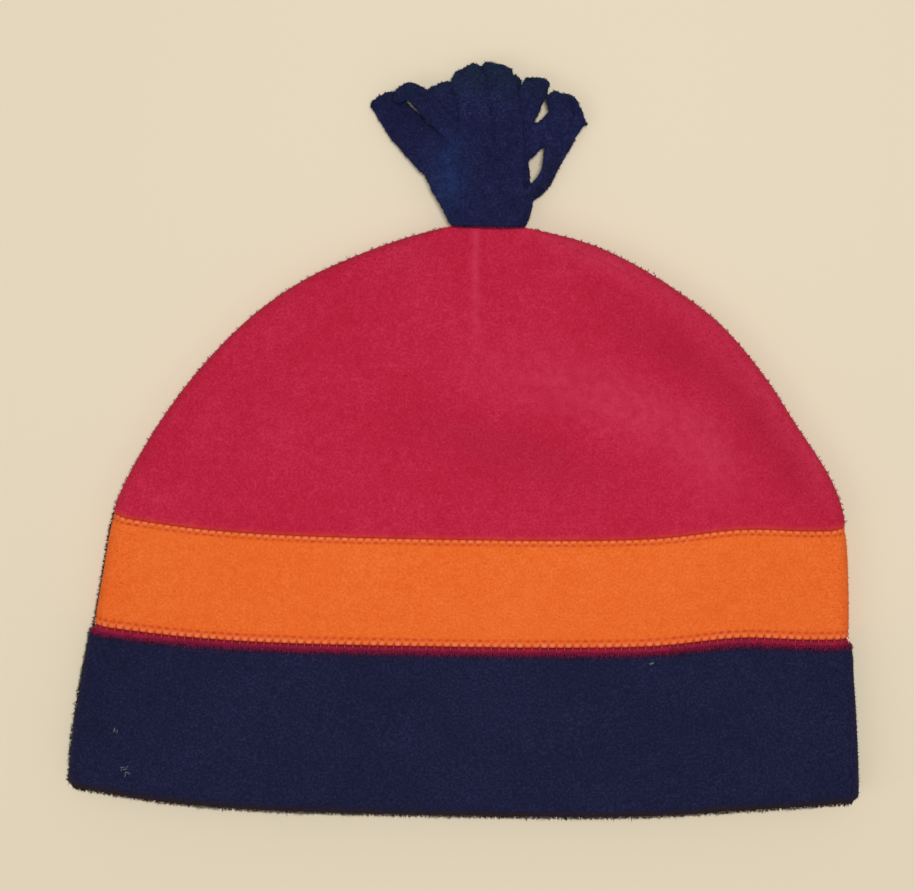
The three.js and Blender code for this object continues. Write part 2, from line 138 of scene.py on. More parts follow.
Fold = namedtuple("Fold", "x y turn long wide high")
CROWN_FOLDS = (
    Fold(x=24, y=20, turn=-8, long=22, wide=10, high=1.3),
    Fold(x=56, y=11, turn=-27, long=26, wide=10, high=1.5),
    Fold(x=75, y=-5, turn=-62, long=18, wide=9, high=1.0),
    Fold(x=66, y=29, turn=-33, long=30, wide=8, high=-1.1),
    Fold(x=96, y=0, turn=-50, long=24, wide=7, high=-1.3),
    Fold(x=12, y=0, turn=-15, long=32, wide=9, high=-1.1),
)
SWELLS = (
    Fold(x=-62, y=-2, turn=48, long=36, wide=14, high=0.9),
    Fold(x=60, y=-42, turn=4, long=34, wide=13, high=0.8),
    Fold(x=-48, y=-88, turn=-6, long=50, wide=16, high=0.8),
)
FOLDS = CROWN_FOLDS + SWELLS
print("sections", len(SECTIONS), "folds and swells", len(FOLDS))

# %% Reading the table
UPS = np.array([row.up for row in SECTIONS], float)


def column(key, up):
    """A column of the section table as a smooth curve over the height up the hat."""
    values = np.array([getattr(row, key) for row in SECTIONS], float)
    before = np.r_[0, 0:len(UPS) - 1]
    after = np.r_[1:len(UPS), len(UPS) - 1]
    slope = (values[after] - values[before]) / (UPS[after] - UPS[before])
    i = np.clip(np.searchsorted(UPS, up) - 1, 0, len(UPS) - 2)
    step = UPS[i + 1] - UPS[i]
    t = np.clip((up - UPS[i]) / step, 0, 1)
    bend = slope[i] * t * (1 - t) ** 2 - slope[i + 1] * t ** 2 * (1 - t)
    return values[i] + (values[i + 1] - values[i]) * t * t * (3 - 2 * t) + step * bend


def smooth_step(value, low, high):
    """0 below low, 1 above high and a soft ramp between."""
    t = np.clip((value - low) / (high - low), 0, 1)
    return t * t * (3 - 2 * t)


def bell(value, wide):
    """1 at the middle, falling away softly to both sides over the width."""
    return np.exp(-(value / wide) ** 2)


TINY = 0.05


def side_of(key, up):
    """The outline seen from above: x and y of it, and the direction out of the hat."""
    low, high = np.maximum(up - TINY, 0), np.minimum(up + TINY, CROWN_TOP)
    dx = column(key, high) - column(key, low)
    dy = column("side", high) - column("side", low)
    length = np.hypot(dx, dy)
    turn = 1 if key == "right" else -1
    return column(key, up), column("side", up), turn * dy / length, -turn * dx / length


def fold_height(x, y, folds=FOLDS):
    """What the soft ridges and valleys add to the front's height."""
    total = np.zeros_like(x)
    for fold in folds:
        turn = math.radians(fold.turn)
        along = (x - fold.x) * math.cos(turn) + (y - fold.y) * math.sin(turn)
        across = (y - fold.y) * math.cos(turn) - (x - fold.x) * math.sin(turn)
        total += fold.high * np.exp(-(along / fold.long) ** 2 - (across / fold.wide) ** 2)
    return total


# %% The skin
def skin(up, around):
    """Points of the hat's outside. around: 0 to 1 front, 2 right fold, 3 back, 4 left fold."""
    up, around = np.broadcast_arrays(np.asarray(up, float), np.asarray(around, float) % 4)
    leg = np.floor(around)
    t = around - leg
    fold = column("fold", up)
    left_x, left_y, left_out_x, left_out_y = side_of("left", up)
    right_x, right_y, right_out_x, right_out_y = side_of("right", up)

    at_slot = smooth_step(up, SLOT.changes_from, CROWN_TOP)
    reach_x = fold * (1 + (SLOT.reach - 1) * at_slot)
    reach_y = fold * (1 - at_slot)

    on_right = leg == 1
    angle = np.where(on_right, math.pi * (0.5 - t), math.pi * (t - 0.5))
    back = np.cos(angle) - 1
    round_x = np.where(on_right, right_x + back * reach_x * right_out_x, left_x + back * reach_x * left_out_x)
    round_y = np.where(on_right, right_y + back * reach_y * right_out_y, left_y + back * reach_y * left_out_y)
    round_z = fold + fold * np.sin(angle)

    across = np.where(leg == 0, t, 1 - t)
    s = 2 * across - 1
    from_x, from_y = left_x - reach_x * left_out_x, left_y - reach_y * left_out_y
    to_x, to_y = right_x - reach_x * right_out_x, right_y - reach_y * right_out_y
    x = from_x + (to_x - from_x) * across
    in_crown = smooth_step(up, BAND_TOP, HANG_SETTLES_AT)
    off_hem = smooth_step(up, 0, DRIFT.grows_over)
    below_right = HANG_RIGHT_AT_HEM + (HANG_RIGHT_BELOW_CROWN - HANG_RIGHT_AT_HEM) * off_hem
    below = np.where(s < 0, HANG_LEFT_BELOW_CROWN, below_right)
    settled = below + (HANG_CROWN_TOP - below) * in_crown
    hang = 1 - np.abs(s) ** (settled + (SLOT.hang - settled) * at_slot)
    fade = smooth_step(DRIFT.fades_from + DRIFT.fades_over - up, 0, DRIFT.fades_over)
    fade = fade * (DRIFT.at_hem + (1 - DRIFT.at_hem) * off_hem)
    drift = DRIFT.lift * fade * (1 - s ** DRIFT.ends) * bell(x - DRIFT.x, DRIFT.wide)
    level_y = from_y + (to_y - from_y) * across
    y = level_y + (HEM_Y + up - (from_y + to_y) / 2) * hang + drift
    rise = (1 - np.abs(s) ** RISE_ROUND) ** RISE_SOFT
    top_z = 2 * fold + (column("loft", up) - 2 * fold + fold_height(x, y)) * rise

    in_fold = (leg == 1) | (leg == 3)
    z = np.where(in_fold, round_z, np.where(leg == 0, top_z, 0))
    return np.stack((np.where(in_fold, round_x, x), np.where(in_fold, round_y, y), z), axis=-1)


def unit(vectors):
    """The same directions, each of length 1."""
    return vectors / np.maximum(np.linalg.norm(vectors, axis=-1, keepdims=True), 1e-12)


def outward(up, around):
    """The direction out of the skin."""
    here = skin(up, around)
    before = unit(here - skin(up, around - TINY / 10))
    after = unit(skin(up, around + TINY / 10) - here)
    climb = skin(np.minimum(up + TINY, CROWN_TOP), around) - skin(np.maximum(up - TINY, 0), around)
    return unit(np.cross(before + after, climb))


def in_cloth(up, around, depth):
    """Places in the cloth, in metres: up the hat, around it and depth under the skin."""
    up, around, depth = np.broadcast_arrays(up, around, depth)
    return (skin(up, around) - outward(up, around) * depth[..., None] + SHIFT) * MM


FINE_STEPS = 4000


def even_columns(up, start, stop, count):
    """Places around the hat between start and stop, evenly spaced along that section, and its run."""
    fine = np.linspace(start, stop, FINE_STEPS)
    line = skin(up, fine)
    run = np.r_[0, np.cumsum(np.linalg.norm(np.diff(line, axis=0), axis=1))]
    return np.interp(np.linspace(0, run[-1], count + 1), run, fine), run[-1]


print("round the hem", round(even_columns(0.0, 0, 4, 10)[1], 1), "mm")

# %% [markdown]
# A cloth is a closed sheet with a face and a back. A plane with a Solidify modifier would do for an even
# sheet, but here both sides are grids over the same rows and columns, joined by thin edges, so the thickness
# can vary. The face can carry relief, such as a seam's valley, by lying nearer to the skin or deeper under
# it. Rules can also mark the face, such as where nap grows thickly or where a seam's puffs get a painted
# highlight, and the marks are kept as attributes for materials and nap to read.


# %% Laying a cloth
def grid_quads(first, second, ring, flip):
    """Faces between two grids' neighbouring rows of point numbers, shape rows by columns."""
    a = np.stack((first, np.roll(first, -1, axis=1), np.roll(second, -1, axis=1), second), axis=-1)
    if not ring:
        a = a[:, :-1]
    a = a.reshape(-1, 4)
    return a[:, ::-1] if flip else a


def mesh_from(name, points, quads, attributes):
    """A smooth mesh with one number at each point for each attribute."""
    mesh = bpy.data.meshes.new(name)
    mesh.from_pydata(points.tolist(), [], quads.tolist())
    for key, values in attributes.items():
        mesh.attributes.new(key, "FLOAT", "POINT").data.foreach_set("value", values)
    mesh.shade_smooth()
    return mesh


def lay_cloth(name, rows, columns, ring, relief=None, marks=None):
    """A cloth through rows of (face up, face depth, back up, back depth), with marks on its face."""
    rows = np.array(rows, float)
    grid_around = np.broadcast_to(columns, (len(rows), len(columns)))
    face_up = np.broadcast_to(rows[:, :1], grid_around.shape)
    face_depth = np.broadcast_to(rows[:, 1:2], grid_around.shape)
    back_up = np.broadcast_to(rows[:, 2:3], grid_around.shape)
    back_depth = np.broadcast_to(rows[:, 3:4], grid_around.shape)
    if relief is not None:
        face_depth = face_depth - relief(face_up, grid_around)
    points = np.concatenate((
        in_cloth(face_up, grid_around, face_depth).reshape(-1, 3),
        in_cloth(back_up, grid_around, back_depth).reshape(-1, 3),
    ))
    size = grid_around.size
    face = np.arange(size).reshape(grid_around.shape)
    back = face + size
    quads = [
        grid_quads(face[:-1], face[1:], ring, False),
        grid_quads(back[:-1], back[1:], ring, True),
        grid_quads(face[:1], back[:1], ring, True),
        grid_quads(face[-1:], back[-1:], ring, False),
    ]
    if not ring:
        quads.append(grid_quads(face[:, :1].T, back[:, :1].T, False, False))
        quads.append(grid_quads(face[:, -1:].T, back[:, -1:].T, False, True))
    plain = np.broadcast_to(rows[:, 1:2], grid_around.shape)
    attributes = {
        key: np.r_[rule(face_up, grid_around, plain).ravel(), np.zeros(size)]
        for key, rule in (marks or {}).items()
    }
    mesh = mesh_from(name, points, np.concatenate(quads), attributes)
    piece = bpy.data.objects.new(name, mesh)
    bpy.context.scene.collection.objects.link(piece)
    print(name, len(mesh.polygons) * 2, "triangles")
    return piece


# %% [markdown]
# Some marks are the same kind on every cloth: where nap grows, and painted shade on the outermost line of the
# side folds, which lies in its own shade, heavier on the left of the band and the cuff. The crown also gets a
# painted highlight on the ridges of its long folds and painted shade in their hollows. They could be painted
# by hand as vertex colours. Each is written as a rule over the skin instead, so it follows the shape when a
# fold is moved.

# %% Marks that every cloth carries
NAP_EDGE = 0.05
NAP_OFF_FLOOR = (0.9, 1.6)
RIGHT_FOLD, LEFT_FOLD = 1.5, 3.5
RIM_HALF = 0.14
FULL_RIDGE = 1.6
FULL_HOLLOW = 1.3


def nap_at_folds(front):
    """A rule for nap: full round the side folds, a share on the front and none close to the floor."""
    def rule(up, around, depth):
        leg = np.floor(around % 4)
        from_fold = np.minimum(around % 1, 1 - around % 1)
        near = front + (1 - front) * smooth_step(from_fold, NAP_EDGE, 0)
        off_floor = smooth_step(in_cloth(up, around, depth)[..., 2] / MM, *NAP_OFF_FLOOR)
        return np.where(leg % 2 == 1, 1, near) * off_floor
    return rule


def fold_mark(sign, full):
    """A rule for a painted highlight on the front's ridges, or painted shade in its hollows where sign is -1.
    """
    def rule(up, around, depth):
        places = skin(up, around)
        height = fold_height(places[..., 0], places[..., 1], CROWN_FOLDS) * sign
        return np.where(np.floor(around % 4) == 0, np.clip(height / full, 0, 1), 0)
    return rule


def rim_mark(left, right):
    """A rule for painted shade on the outermost line of the side folds, by the given shares for left and
    right.
    """
    def rule(up, around, depth):
        near_left = smooth_step(np.abs(around % 4 - LEFT_FOLD), RIM_HALF, 0.5 * RIM_HALF)
        near_right = smooth_step(np.abs(around % 4 - RIGHT_FOLD), RIM_HALF, 0.5 * RIM_HALF)
        return left * near_left + right * near_right
    return rule


# Painted highlight on the crown's ridges and painted shade in its hollows.
RIDGE_HIGHLIGHT, HOLLOW_SHADE = fold_mark(1, FULL_RIDGE), fold_mark(-1, FULL_HOLLOW)
print("fold marks for", len(CROWN_FOLDS), "folds")

# %% [markdown]
# Nodes can be joined by hand in the editor or line by line in a script, and both soon hide what
# they work out. Shader and geometry trees here are built by the same two helpers. Value stands for
# a socket, so maths on masks reads as an expression, and Graph adds any other node from its type,
# settings and inputs.

# %% Node helpers
class Value:
    """A socket whose arithmetic adds Math nodes."""

    def __init__(self, graph, socket):
        self.graph, self.socket = graph, socket

    def maths(self, operation, *others):
        """A Math node on this value and the others."""
        node = self.graph.node("ShaderNodeMath", {"operation": operation},
                               {i: v for i, v in enumerate((self, *others))})
        return Value(self.graph, node.outputs[0])

    def __add__(self, other):
        return self.maths("ADD", other)

    def __mul__(self, other):
        return self.maths("MULTIPLY", other)

    def __sub__(self, other):
        return self.maths("SUBTRACT", other)

    def __rsub__(self, other):
        return self.maths("MULTIPLY", -1.0).maths("ADD", other)

    __radd__ = __add__
    __rmul__ = __mul__


class Graph:
    """A node tree, with one way of adding a node to it."""

    def __init__(self, tree):
        self.tree = tree
        tree.nodes.clear()

    def node(self, kind, settings=None, inputs=None):
        """A node of a type, with its settings made before its inputs are fed."""
        node = self.tree.nodes.new(kind)
        for key, value in (settings or {}).items():
            setattr(node, key, value)
        for key, value in (inputs or {}).items():
            self.feed(node.inputs[key], value)
        return node

    def feed(self, socket, value):
        """Links or sets a socket."""
        if isinstance(value, Value):
            value = value.socket
        if isinstance(value, bpy.types.NodeSocket):
            self.tree.links.new(value, socket)
        else:
            socket.default_value = value

    def value(self, kind, settings=None, inputs=None, output=0):
        """A node's output as a Value."""
        return Value(self, self.node(kind, settings, inputs).outputs[output])


def linear(red, green, blue):
    """A screen colour, 0 to 255, as the linear colour that shaders take."""
    channels = [c / 255 for c in (red, green, blue)]
    return tuple(c / 12.92 if c <= 0.04045 else ((c + 0.055) / 1.055) ** 2.4 for c in channels) + (1,)


# %% [markdown]
# Polar fleece has no weave to see: it is a matted pile that scatters light. Its colour is mottled at the size
# of the pile, a fine bump breaks the surface, and sheen lifts the edges. A photographed texture would show
# its seams and its light from every other side, so noise at three sizes gives this, with most of it at the
# finest. Marks on a piece then tint it: the pile of one cloth catches in the next one, painted highlight lies
# on ridges, puffs, the dart, the allowance and the tassel's foot, and painted shade lies in hollows and
# needle holes, between puffs, on outlines and along the hem. The real pile stands out only at the outline, so
# short fibres are grown over it as well.

# %% Fleece
PILE_SIZE = 0.0007
MATT_SIZE = 0.0032
PATCH_SIZE = 0.022
TONE_REACH = 2.2
BROKEN_REACH = 2.0
PILE_BUMP, MATT_BUMP = 0.6, 0.3
BUMP_STRENGTH = 0.6
BUMP_DEEP = 0.0006


def mottling(graph, place):
    """Noise at the pile's size, the matted tufts' size and the hand's size, each about 0.5."""
    sizes = ((PILE_SIZE, 3.0), (MATT_SIZE, 2.0), (PATCH_SIZE, 1.0))
    return [
        graph.value("ShaderNodeTexNoise", {}, {"Vector": place, "Scale": 1 / size, "Detail": detail})
        for size, detail in sizes
    ]


def mix_colour(graph, factor, first, second):
    """The second colour over the first, by the factor."""
    node = graph.node("ShaderNodeMix", {"data_type": "RGBA"}, {"Factor": factor, 6: first, 7: second})
    return node.outputs[2]


Fleece = namedtuple("Fleece", "colour deep bright pile matt patch sheen")


def fleece(name, look, tints=()):
    """A fleece material. deep and bright are the colours where the pile parts and where it stands."""
    material = bpy.data.materials.new(name)
    material.use_nodes = True
    graph = Graph(material.node_tree)
    place = graph.node("ShaderNodeTexCoord").outputs["Object"]
    pile, matt, patch = mottling(graph, place)
    tone = (pile - 0.5) * look.pile + (matt - 0.5) * look.matt + (patch - 0.5) * look.patch
    clamped = {"operation": "MULTIPLY", "use_clamp": True}
    lighter = graph.value("ShaderNodeMath", clamped, {0: tone, 1: TONE_REACH})
    darker = graph.value("ShaderNodeMath", clamped, {0: tone, 1: -TONE_REACH})
    shade = mix_colour(graph, lighter, look.colour, look.bright)
    shade = mix_colour(graph, darker, shade, look.deep)
    broken = matt * BROKEN_REACH + (1 - BROKEN_REACH / 2)
    for mark, tint, share in tints:
        mask = graph.value("ShaderNodeAttribute", {"attribute_name": mark}, {}, "Fac")
        shade = mix_colour(graph, mask * broken * share, shade, tint)
    height = pile * PILE_BUMP + matt * MATT_BUMP
    bump = graph.value("ShaderNodeBump", {}, {
        "Height": height, "Strength": BUMP_STRENGTH, "Distance": BUMP_DEEP})
    surface = graph.node("ShaderNodeBsdfPrincipled", {}, {
        "Base Color": shade,
        "Roughness": 0.95,
        "Specular IOR Level": 0.15,
        "Sheen Weight": look.sheen,
        "Sheen Roughness": 0.55,
        "Sheen Tint": look.bright,
        "Normal": bump,
    })
    graph.node("ShaderNodeOutputMaterial", {}, {"Surface": surface.outputs[0]})
    return material


# %% The hat's colours
PUFF_HIGHLIGHT_CORAL = linear(248, 136, 104)
NEEDLE_HOLE_SHADE = linear(176, 48, 18)
PLUM = linear(84, 20, 56)
BLOOD = linear(112, 18, 16)
HIGHLIGHT_ROSE = linear(202, 58, 88)
SHADE_WINE = linear(142, 20, 42)
# On the crimson, the rose is a painted highlight on ridges, the dart and the allowance; the wine and the plum
# are painted shade in hollows and on the outline; the dark red is painted shade with thread under the band;
# the purple is navy pile caught in the groove.
CRIMSON = fleece(
    "crimson fleece",
    Fleece(linear(184, 29, 61), linear(162, 8, 34), linear(204, 58, 88), 0.9, 0.3, 0.25, 0.3),
    (("ridge", HIGHLIGHT_ROSE, 0.32), ("hollow", SHADE_WINE, 0.26), ("painted_crest_highlight", HIGHLIGHT_ROSE, 0.55), ("rim", PLUM, 0.3),
     ("glow", linear(208, 64, 38), 0.5), ("groove", linear(92, 22, 64), 0.8), ("seam", BLOOD, 0.45)))
# On the orange, the coral is a painted highlight on the puffs; the dark orange-brown tints are painted shade
# in the needle holes and in the gaps between puffs; the brown is painted shade on the outline, mostly the
# left one.
ORANGE = fleece(
    "orange fleece",
    Fleece(linear(231, 104, 38), linear(213, 78, 8), linear(246, 132, 76), 0.8, 0.25, 0.15, 0.2),
    (("rim", linear(120, 78, 30), 0.5), ("puff", PUFF_HIGHLIGHT_CORAL, 0.52), ("valley", NEEDLE_HOLE_SHADE, 0.7),
     ("gap", linear(172, 52, 22), 0.6)))
# On the navy, the brown tints are painted shade on the outline, mostly the left one, and along the folded
# hem; the plum is crimson pile caught along the sewn edge.
NAVY = fleece(
    "navy fleece",
    Fleece(linear(22, 24, 54), linear(8, 9, 34), linear(48, 50, 90), 0.9, 0.15, 0.15, 0.2),
    (("rim", linear(34, 26, 24), 0.6), ("edge", PLUM, 0.6), ("hem", linear(38, 26, 21), 0.9)))
# On the tassel, the bright blue is a painted highlight on the foot's left side, and the dark teal makes the
# strips darker and greener toward their tips.
TASSEL_NAVY = fleece(
    "tassel fleece",
    Fleece(linear(25, 28, 66), linear(14, 14, 44), linear(50, 58, 104), 0.9, 0.35, 0.4, 0.3),
    (("painted_foot_highlight", linear(34, 60, 112), 0.42), ("darker_to_tips", linear(18, 38, 44), 0.45)))
THREAD = fleece(
    "thread", Fleece(linear(196, 62, 42), linear(164, 44, 30), linear(212, 82, 56), 0.5, 0.2, 0.2, 0.1))
# These two piles colour real tufts with painted shade: dark maroon on the crown's side seams, dark brown
# along the hem, the left edge and the left corner.
SHADED_SEAM_PILE = fleece(
    "seam pile in painted shade", Fleece(linear(122, 34, 54), linear(86, 16, 34), linear(150, 70, 88), 0.6, 0.3, 0.2, 0.2))
GROOVE_PILE = fleece(
    "groove pile", Fleece(linear(146, 34, 74), linear(92, 30, 84), linear(178, 38, 62), 0.9, 0.8, 0.3, 0.2))
SHADED_EDGE_PILE = fleece(
    "edge pile in painted shade", Fleece(linear(44, 32, 34), linear(24, 20, 32), linear(66, 50, 46), 0.6, 0.3, 0.2, 0.2))
LINT = fleece(
    "lint", Fleece(linear(112, 126, 126), linear(82, 96, 104), linear(140, 152, 148), 0.4, 0.2, 0.2, 0.1))
print("materials", [m.name for m in bpy.data.materials])

# %% [markdown]
# The band is one ring of orange cloth, stitched over the crown with an overlock stitch at both edges. Between
# two threads its edge puffs out, each puff a little different, and a row of needle holes pulls a narrow
# valley inside it. A bump pattern could hint at this, but it would vanish from the side. Both are real relief
# here, so the ring's columns are set by the stitches, and marks of the same shape add a painted highlight on
# the puffs and painted shade in the holes and in the gaps between the puffs.

# %% Puffs between the band's stitches
STITCHES = 196
COLUMNS_A_STITCH = 6
BAND_FACE = 0.7
BAND_CLOTH = 1.6
Bead = namedtuple("Bead", "wide puff pinch valley round")
TOP_BEAD = Bead(wide=1.25, puff=0.35, pinch=0.10, valley=0.40, round=0.5)
BOTTOM_BEAD = Bead(wide=1.65, puff=0.55, pinch=0.35, valley=0.50, round=0.9)
HOLE_IN = 0.3
HOLE_WIDE = 0.42
GAP_SHARE = 0.62
PALE_ALONG = 0.4
PALE_INWARD = 0.62
FOLD_PRESS = 0.8
FOLD_PRESS_WIDE = 0.45

BAND_COLUMNS, BAND_ROUND = even_columns(71.0, 0, 4, STITCHES * COLUMNS_A_STITCH)
BAND_COLUMNS = BAND_COLUMNS[:-1]
STITCH_AROUND = BAND_COLUMNS[::COLUMNS_A_STITCH]
PUFF_SIZES = np.random.default_rng(11).uniform(0.55, 1.2, STITCHES)


def stitch_number(around):
    """How many stitches round the band a place is, whole at a thread."""
    number = np.interp(around % 4, np.r_[BAND_COLUMNS, 4], np.arange(len(BAND_COLUMNS) + 1))
    return number / COLUMNS_A_STITCH


def stitch_phase(around):
    """0 at a thread and 1 halfway to the next, for places round the band, and the stitch's number."""
    stitch = stitch_number(around)
    return np.abs(np.sin(np.pi * stitch)), stitch.astype(int) % STITCHES


def beside_edge(inside, bead):
    """1 in the strip that the stitches hold and 0 further in."""
    return smooth_step(inside, bead.wide, bead.wide * 0.5)


def pressed_flat(around):
    """How freely the edge puffs: 1 on the front and the back, less where the side folds press it."""
    return 1 - FOLD_PRESS * bell(around % 2 - RIGHT_FOLD, FOLD_PRESS_WIDE)


def puffs(inside, around, bead):
    """How puffed the edge is, from 0 to about 1, by the distance inside it."""
    phase, stitch = stitch_phase(around)
    return beside_edge(inside, bead) * phase * PUFF_SIZES[stitch] * pressed_flat(around)


def thread_gap(inside, around, bead):
    """How near a place is to the gap that a thread pulls between two puffs."""
    phase, _ = stitch_phase(around)
    return beside_edge(inside, bead) * smooth_step(phase, GAP_SHARE, 0.1)


def needle_valley(inside, around, bead):
    """How near a place is to the line of needle holes, deepest behind each puff."""
    phase, _ = stitch_phase(around)
    return bell(inside - bead.wide - HOLE_IN, HOLE_WIDE) * (0.25 + 0.75 * phase ** 2)


def bead_relief(inside, around, bead):
    """How far the edge stands out, by the distance inside it."""
    corner = np.clip(bead.round - inside, 0, bead.round)
    rounding = bead.round - np.sqrt(bead.round ** 2 - corner ** 2 * 0.98)
    holes = bead.valley * needle_valley(inside, around, bead)
    pinched = bead.pinch * thread_gap(inside, around, bead)
    return bead.puff * puffs(inside, around, bead) - pinched - rounding - holes


def at_both_edges(rule):
    """A rule for the band from one that takes the distance inside an edge."""
    return lambda up, around, depth=0: (
        rule(BAND_TOP - up, around, TOP_BEAD) + rule(up - BAND_BOTTOM, around, BOTTOM_BEAD))


def puff_highlight(inside, around, bead):
    """A painted highlight on the round crown of each puff, paler on the larger ones."""
    _, stitch = stitch_phase(around)
    along = (stitch_number(around) % 1 - 0.5) / PALE_ALONG
    inward = (inside - bead.wide * 0.55) / (bead.wide * PALE_INWARD)
    crown = smooth_step(along ** 2 + inward ** 2, 1, 0.2)
    return crown * smooth_step(PUFF_SIZES[stitch], 0.3, 1.0) * pressed_flat(around)


# %% Band
def band_rows():
    """Rows up the band, closer together near its edges."""
    near = np.array((0, 0.15, 0.35, 0.6, 0.9, 1.2, 1.5, 1.75, 2.0, 2.3, 2.8, 3.6))
    middle = np.linspace(BAND_BOTTOM + 6.5, BAND_TOP - 6.5, 5)
    ups = np.r_[BAND_BOTTOM + near, middle, (BAND_TOP - near)[::-1]]
    return [(up, BAND_FACE, up, BAND_FACE + BAND_CLOTH) for up in ups]


def band_nap(up, around, depth):
    """Nap away from the stitched edges."""
    inside = np.minimum(BAND_TOP - up, up - BAND_BOTTOM)
    return nap_at_folds(0.1)(up, around, depth) * smooth_step(inside, 1.0, 3.0)


def finish_piece(piece, material, nodes=()):
    """Gives a piece its finish and its body, and hides the solids it stands for."""
    piece.data.materials.clear()
    piece.data.materials.append(material)
    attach(piece, BODY)
    if nodes:
        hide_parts(*nodes)


# The band's marks: a painted highlight on each puff, and painted shade in the needle holes, in the gaps
# between puffs and on the outline, mostly the left one.
band_marks = {
    "puff": at_both_edges(puff_highlight), "valley": at_both_edges(needle_valley),
    "gap": at_both_edges(thread_gap), "rim": rim_mark(0.9, 0.2), "nap": band_nap,
}
band = lay_cloth("band_cloth", band_rows(), BAND_COLUMNS, True, at_both_edges(bead_relief), band_marks)
finish_piece(band, ORANGE, ("band",))
print("stitch every", round(BAND_ROUND / STITCHES, 2), "mm")

# %% [markdown]
# The crown is two panels that meet at the side folds. Its lower edge runs on under the band, shows
# as a narrow strip in the groove above the cuff and ends under the cuff. A dart takes in its top
# front, and the seam allowance inside the right fold lifts the cloth along that edge. The long folds
# are already in the skin. What is finer is added as relief on the front panel, where a sculpted
# brush stroke would have to be done again after each change of the skin.

# %% Dart and seam allowance
CROWN_CLOTH = 1.8
CROWN_DEPTHS = np.array((
    (CUFF_TOP - CUFF_LAP, 2.5), (CUFF_TOP - 0.1, 2.5), (CUFF_TOP + 0.1, 1.1), (CUFF_TOP + 0.7, 0.8),
    (CUFF_TOP + 1.6, 1.0), (BAND_BOTTOM - 0.1, 1.7), (BAND_BOTTOM + 0.1, 2.6), (BAND_TOP, 2.5),
    (BAND_TOP + 0.06, 0.95), (BAND_TOP + 0.2, 0.7), (BAND_TOP + 0.7, 0.5), (BAND_TOP + 1.5, 0.32),
    (BAND_TOP + 3, 0.15), (BAND_TOP + 7, 0),
    (CROWN_TOP - 1.2, 0), (CROWN_TOP - 0.35, 0.2), (CROWN_TOP, 0.55),
))
ALLOWANCE_WIDE = 8.5
ALLOWANCE_SOFT = 2.6
ALLOWANCE_HIGH = 0.4
ALLOWANCE_STARTS = (0.5, 4.5)
ALLOWANCE_GLOSS = (12.0, 3.0)
DART_TOP = (-0.1, 65.9)
DART_END = (1.0, 24.8)
DART_FADES_OVER = 24
DART_RIDGE, DART_RIDGE_WIDE = 0.35, 2.4
DART_LINE, DART_LINE_WIDE = 0.2, 0.5
DART_CREST, DART_CREST_WIDE = 0.8, 1.3
SCALLOP, SCALLOP_WIDE = 0.22, 0.7
FAR_OFF = 99
SEAM_GAP = 0.012
UNDER_BAND = (60, 61)


def dart_line(up, around):
    """How near the front's places are to the dart, fading toward its point."""
    places = skin(up, around)
    down = (DART_TOP[1] - places[..., 1]) / (DART_TOP[1] - DART_END[1])
    beside = places[..., 0] - DART_TOP[0] - (DART_END[0] - DART_TOP[0]) * down
    fade = smooth_step(places[..., 1], DART_END[1], DART_END[1] + DART_FADES_OVER)
    return np.where(np.floor(around % 4) == 0, beside, FAR_OFF), fade


def beside_right_fold(up, around):
    """How far inside the right outline the front's places are, and 1 where the allowance runs."""
    half = (column("right", up) - column("left", up)) / 2
    from_edge = (1 - np.clip(around, 0, 1)) * 2 * half + column("fold", up)
    return from_edge, smooth_step(up, BAND_TOP + 2, BAND_TOP + 14)


def allowance_step(up, around):
    """1 on the seam allowance inside the right fold and 0 off it."""
    from_edge, runs = beside_right_fold(up, around)
    inside = smooth_step(from_edge, ALLOWANCE_WIDE + ALLOWANCE_SOFT, ALLOWANCE_WIDE - ALLOWANCE_SOFT)
    return np.where(around < 1, inside * smooth_step(from_edge, *ALLOWANCE_STARTS) * runs, 0)


def crown_relief(up, around):
    """The dart, the seam allowance inside the right fold, and scallops along the band."""
    beside, fade = dart_line(up, around)
    dart = DART_RIDGE * bell(beside, DART_RIDGE_WIDE) - DART_LINE * bell(beside, DART_LINE_WIDE)
    scallop = SCALLOP * stitch_phase(around)[0] * bell(up - BAND_TOP - 0.7, SCALLOP_WIDE)
    return ALLOWANCE_HIGH * allowance_step(up, around) + fade * dart + scallop


# %% Marks on the crown
def crown_crest_highlight(up, around, depth):
    """Painted highlight along the dart and along the allowance inside the right fold."""
    beside, fade = dart_line(up, around)
    from_edge, runs = beside_right_fold(up, around)
    gloss = np.where(around < 1.5, smooth_step(from_edge, *ALLOWANCE_GLOSS) * runs, 0)
    return fade * bell(beside, DART_CREST_WIDE) * DART_CREST + 0.5 * gloss


def crown_groove(up, around, depth):
    """Where navy pile from the cuff has caught in the crimson of the groove."""
    return (0.6 + 0.4 * smooth_step(up, CUFF_TOP + 1.6, CUFF_TOP + 0.2)) * smooth_step(up, *UNDER_BAND[::-1])


def crown_seam(up, around, depth):
    """The shade and dark red thread close under the band's lower edge."""
    return smooth_step(up, CUFF_TOP + 1.0, CUFF_TOP + 2.0) - smooth_step(up, *UNDER_BAND)


def crown_glow(up, around, depth):
    """An orange tint on the crimson just above the band."""
    return smooth_step(up, BAND_TOP + 1.8, BAND_TOP + 0.3) * smooth_step(up, *UNDER_BAND)


def crown_nap(up, around, depth):
    """Nap above the band only."""
    shown = smooth_step(up, BAND_TOP + 0.2, BAND_TOP + 1.5)
    return nap_at_folds(0.12)(up, around, depth) * shown


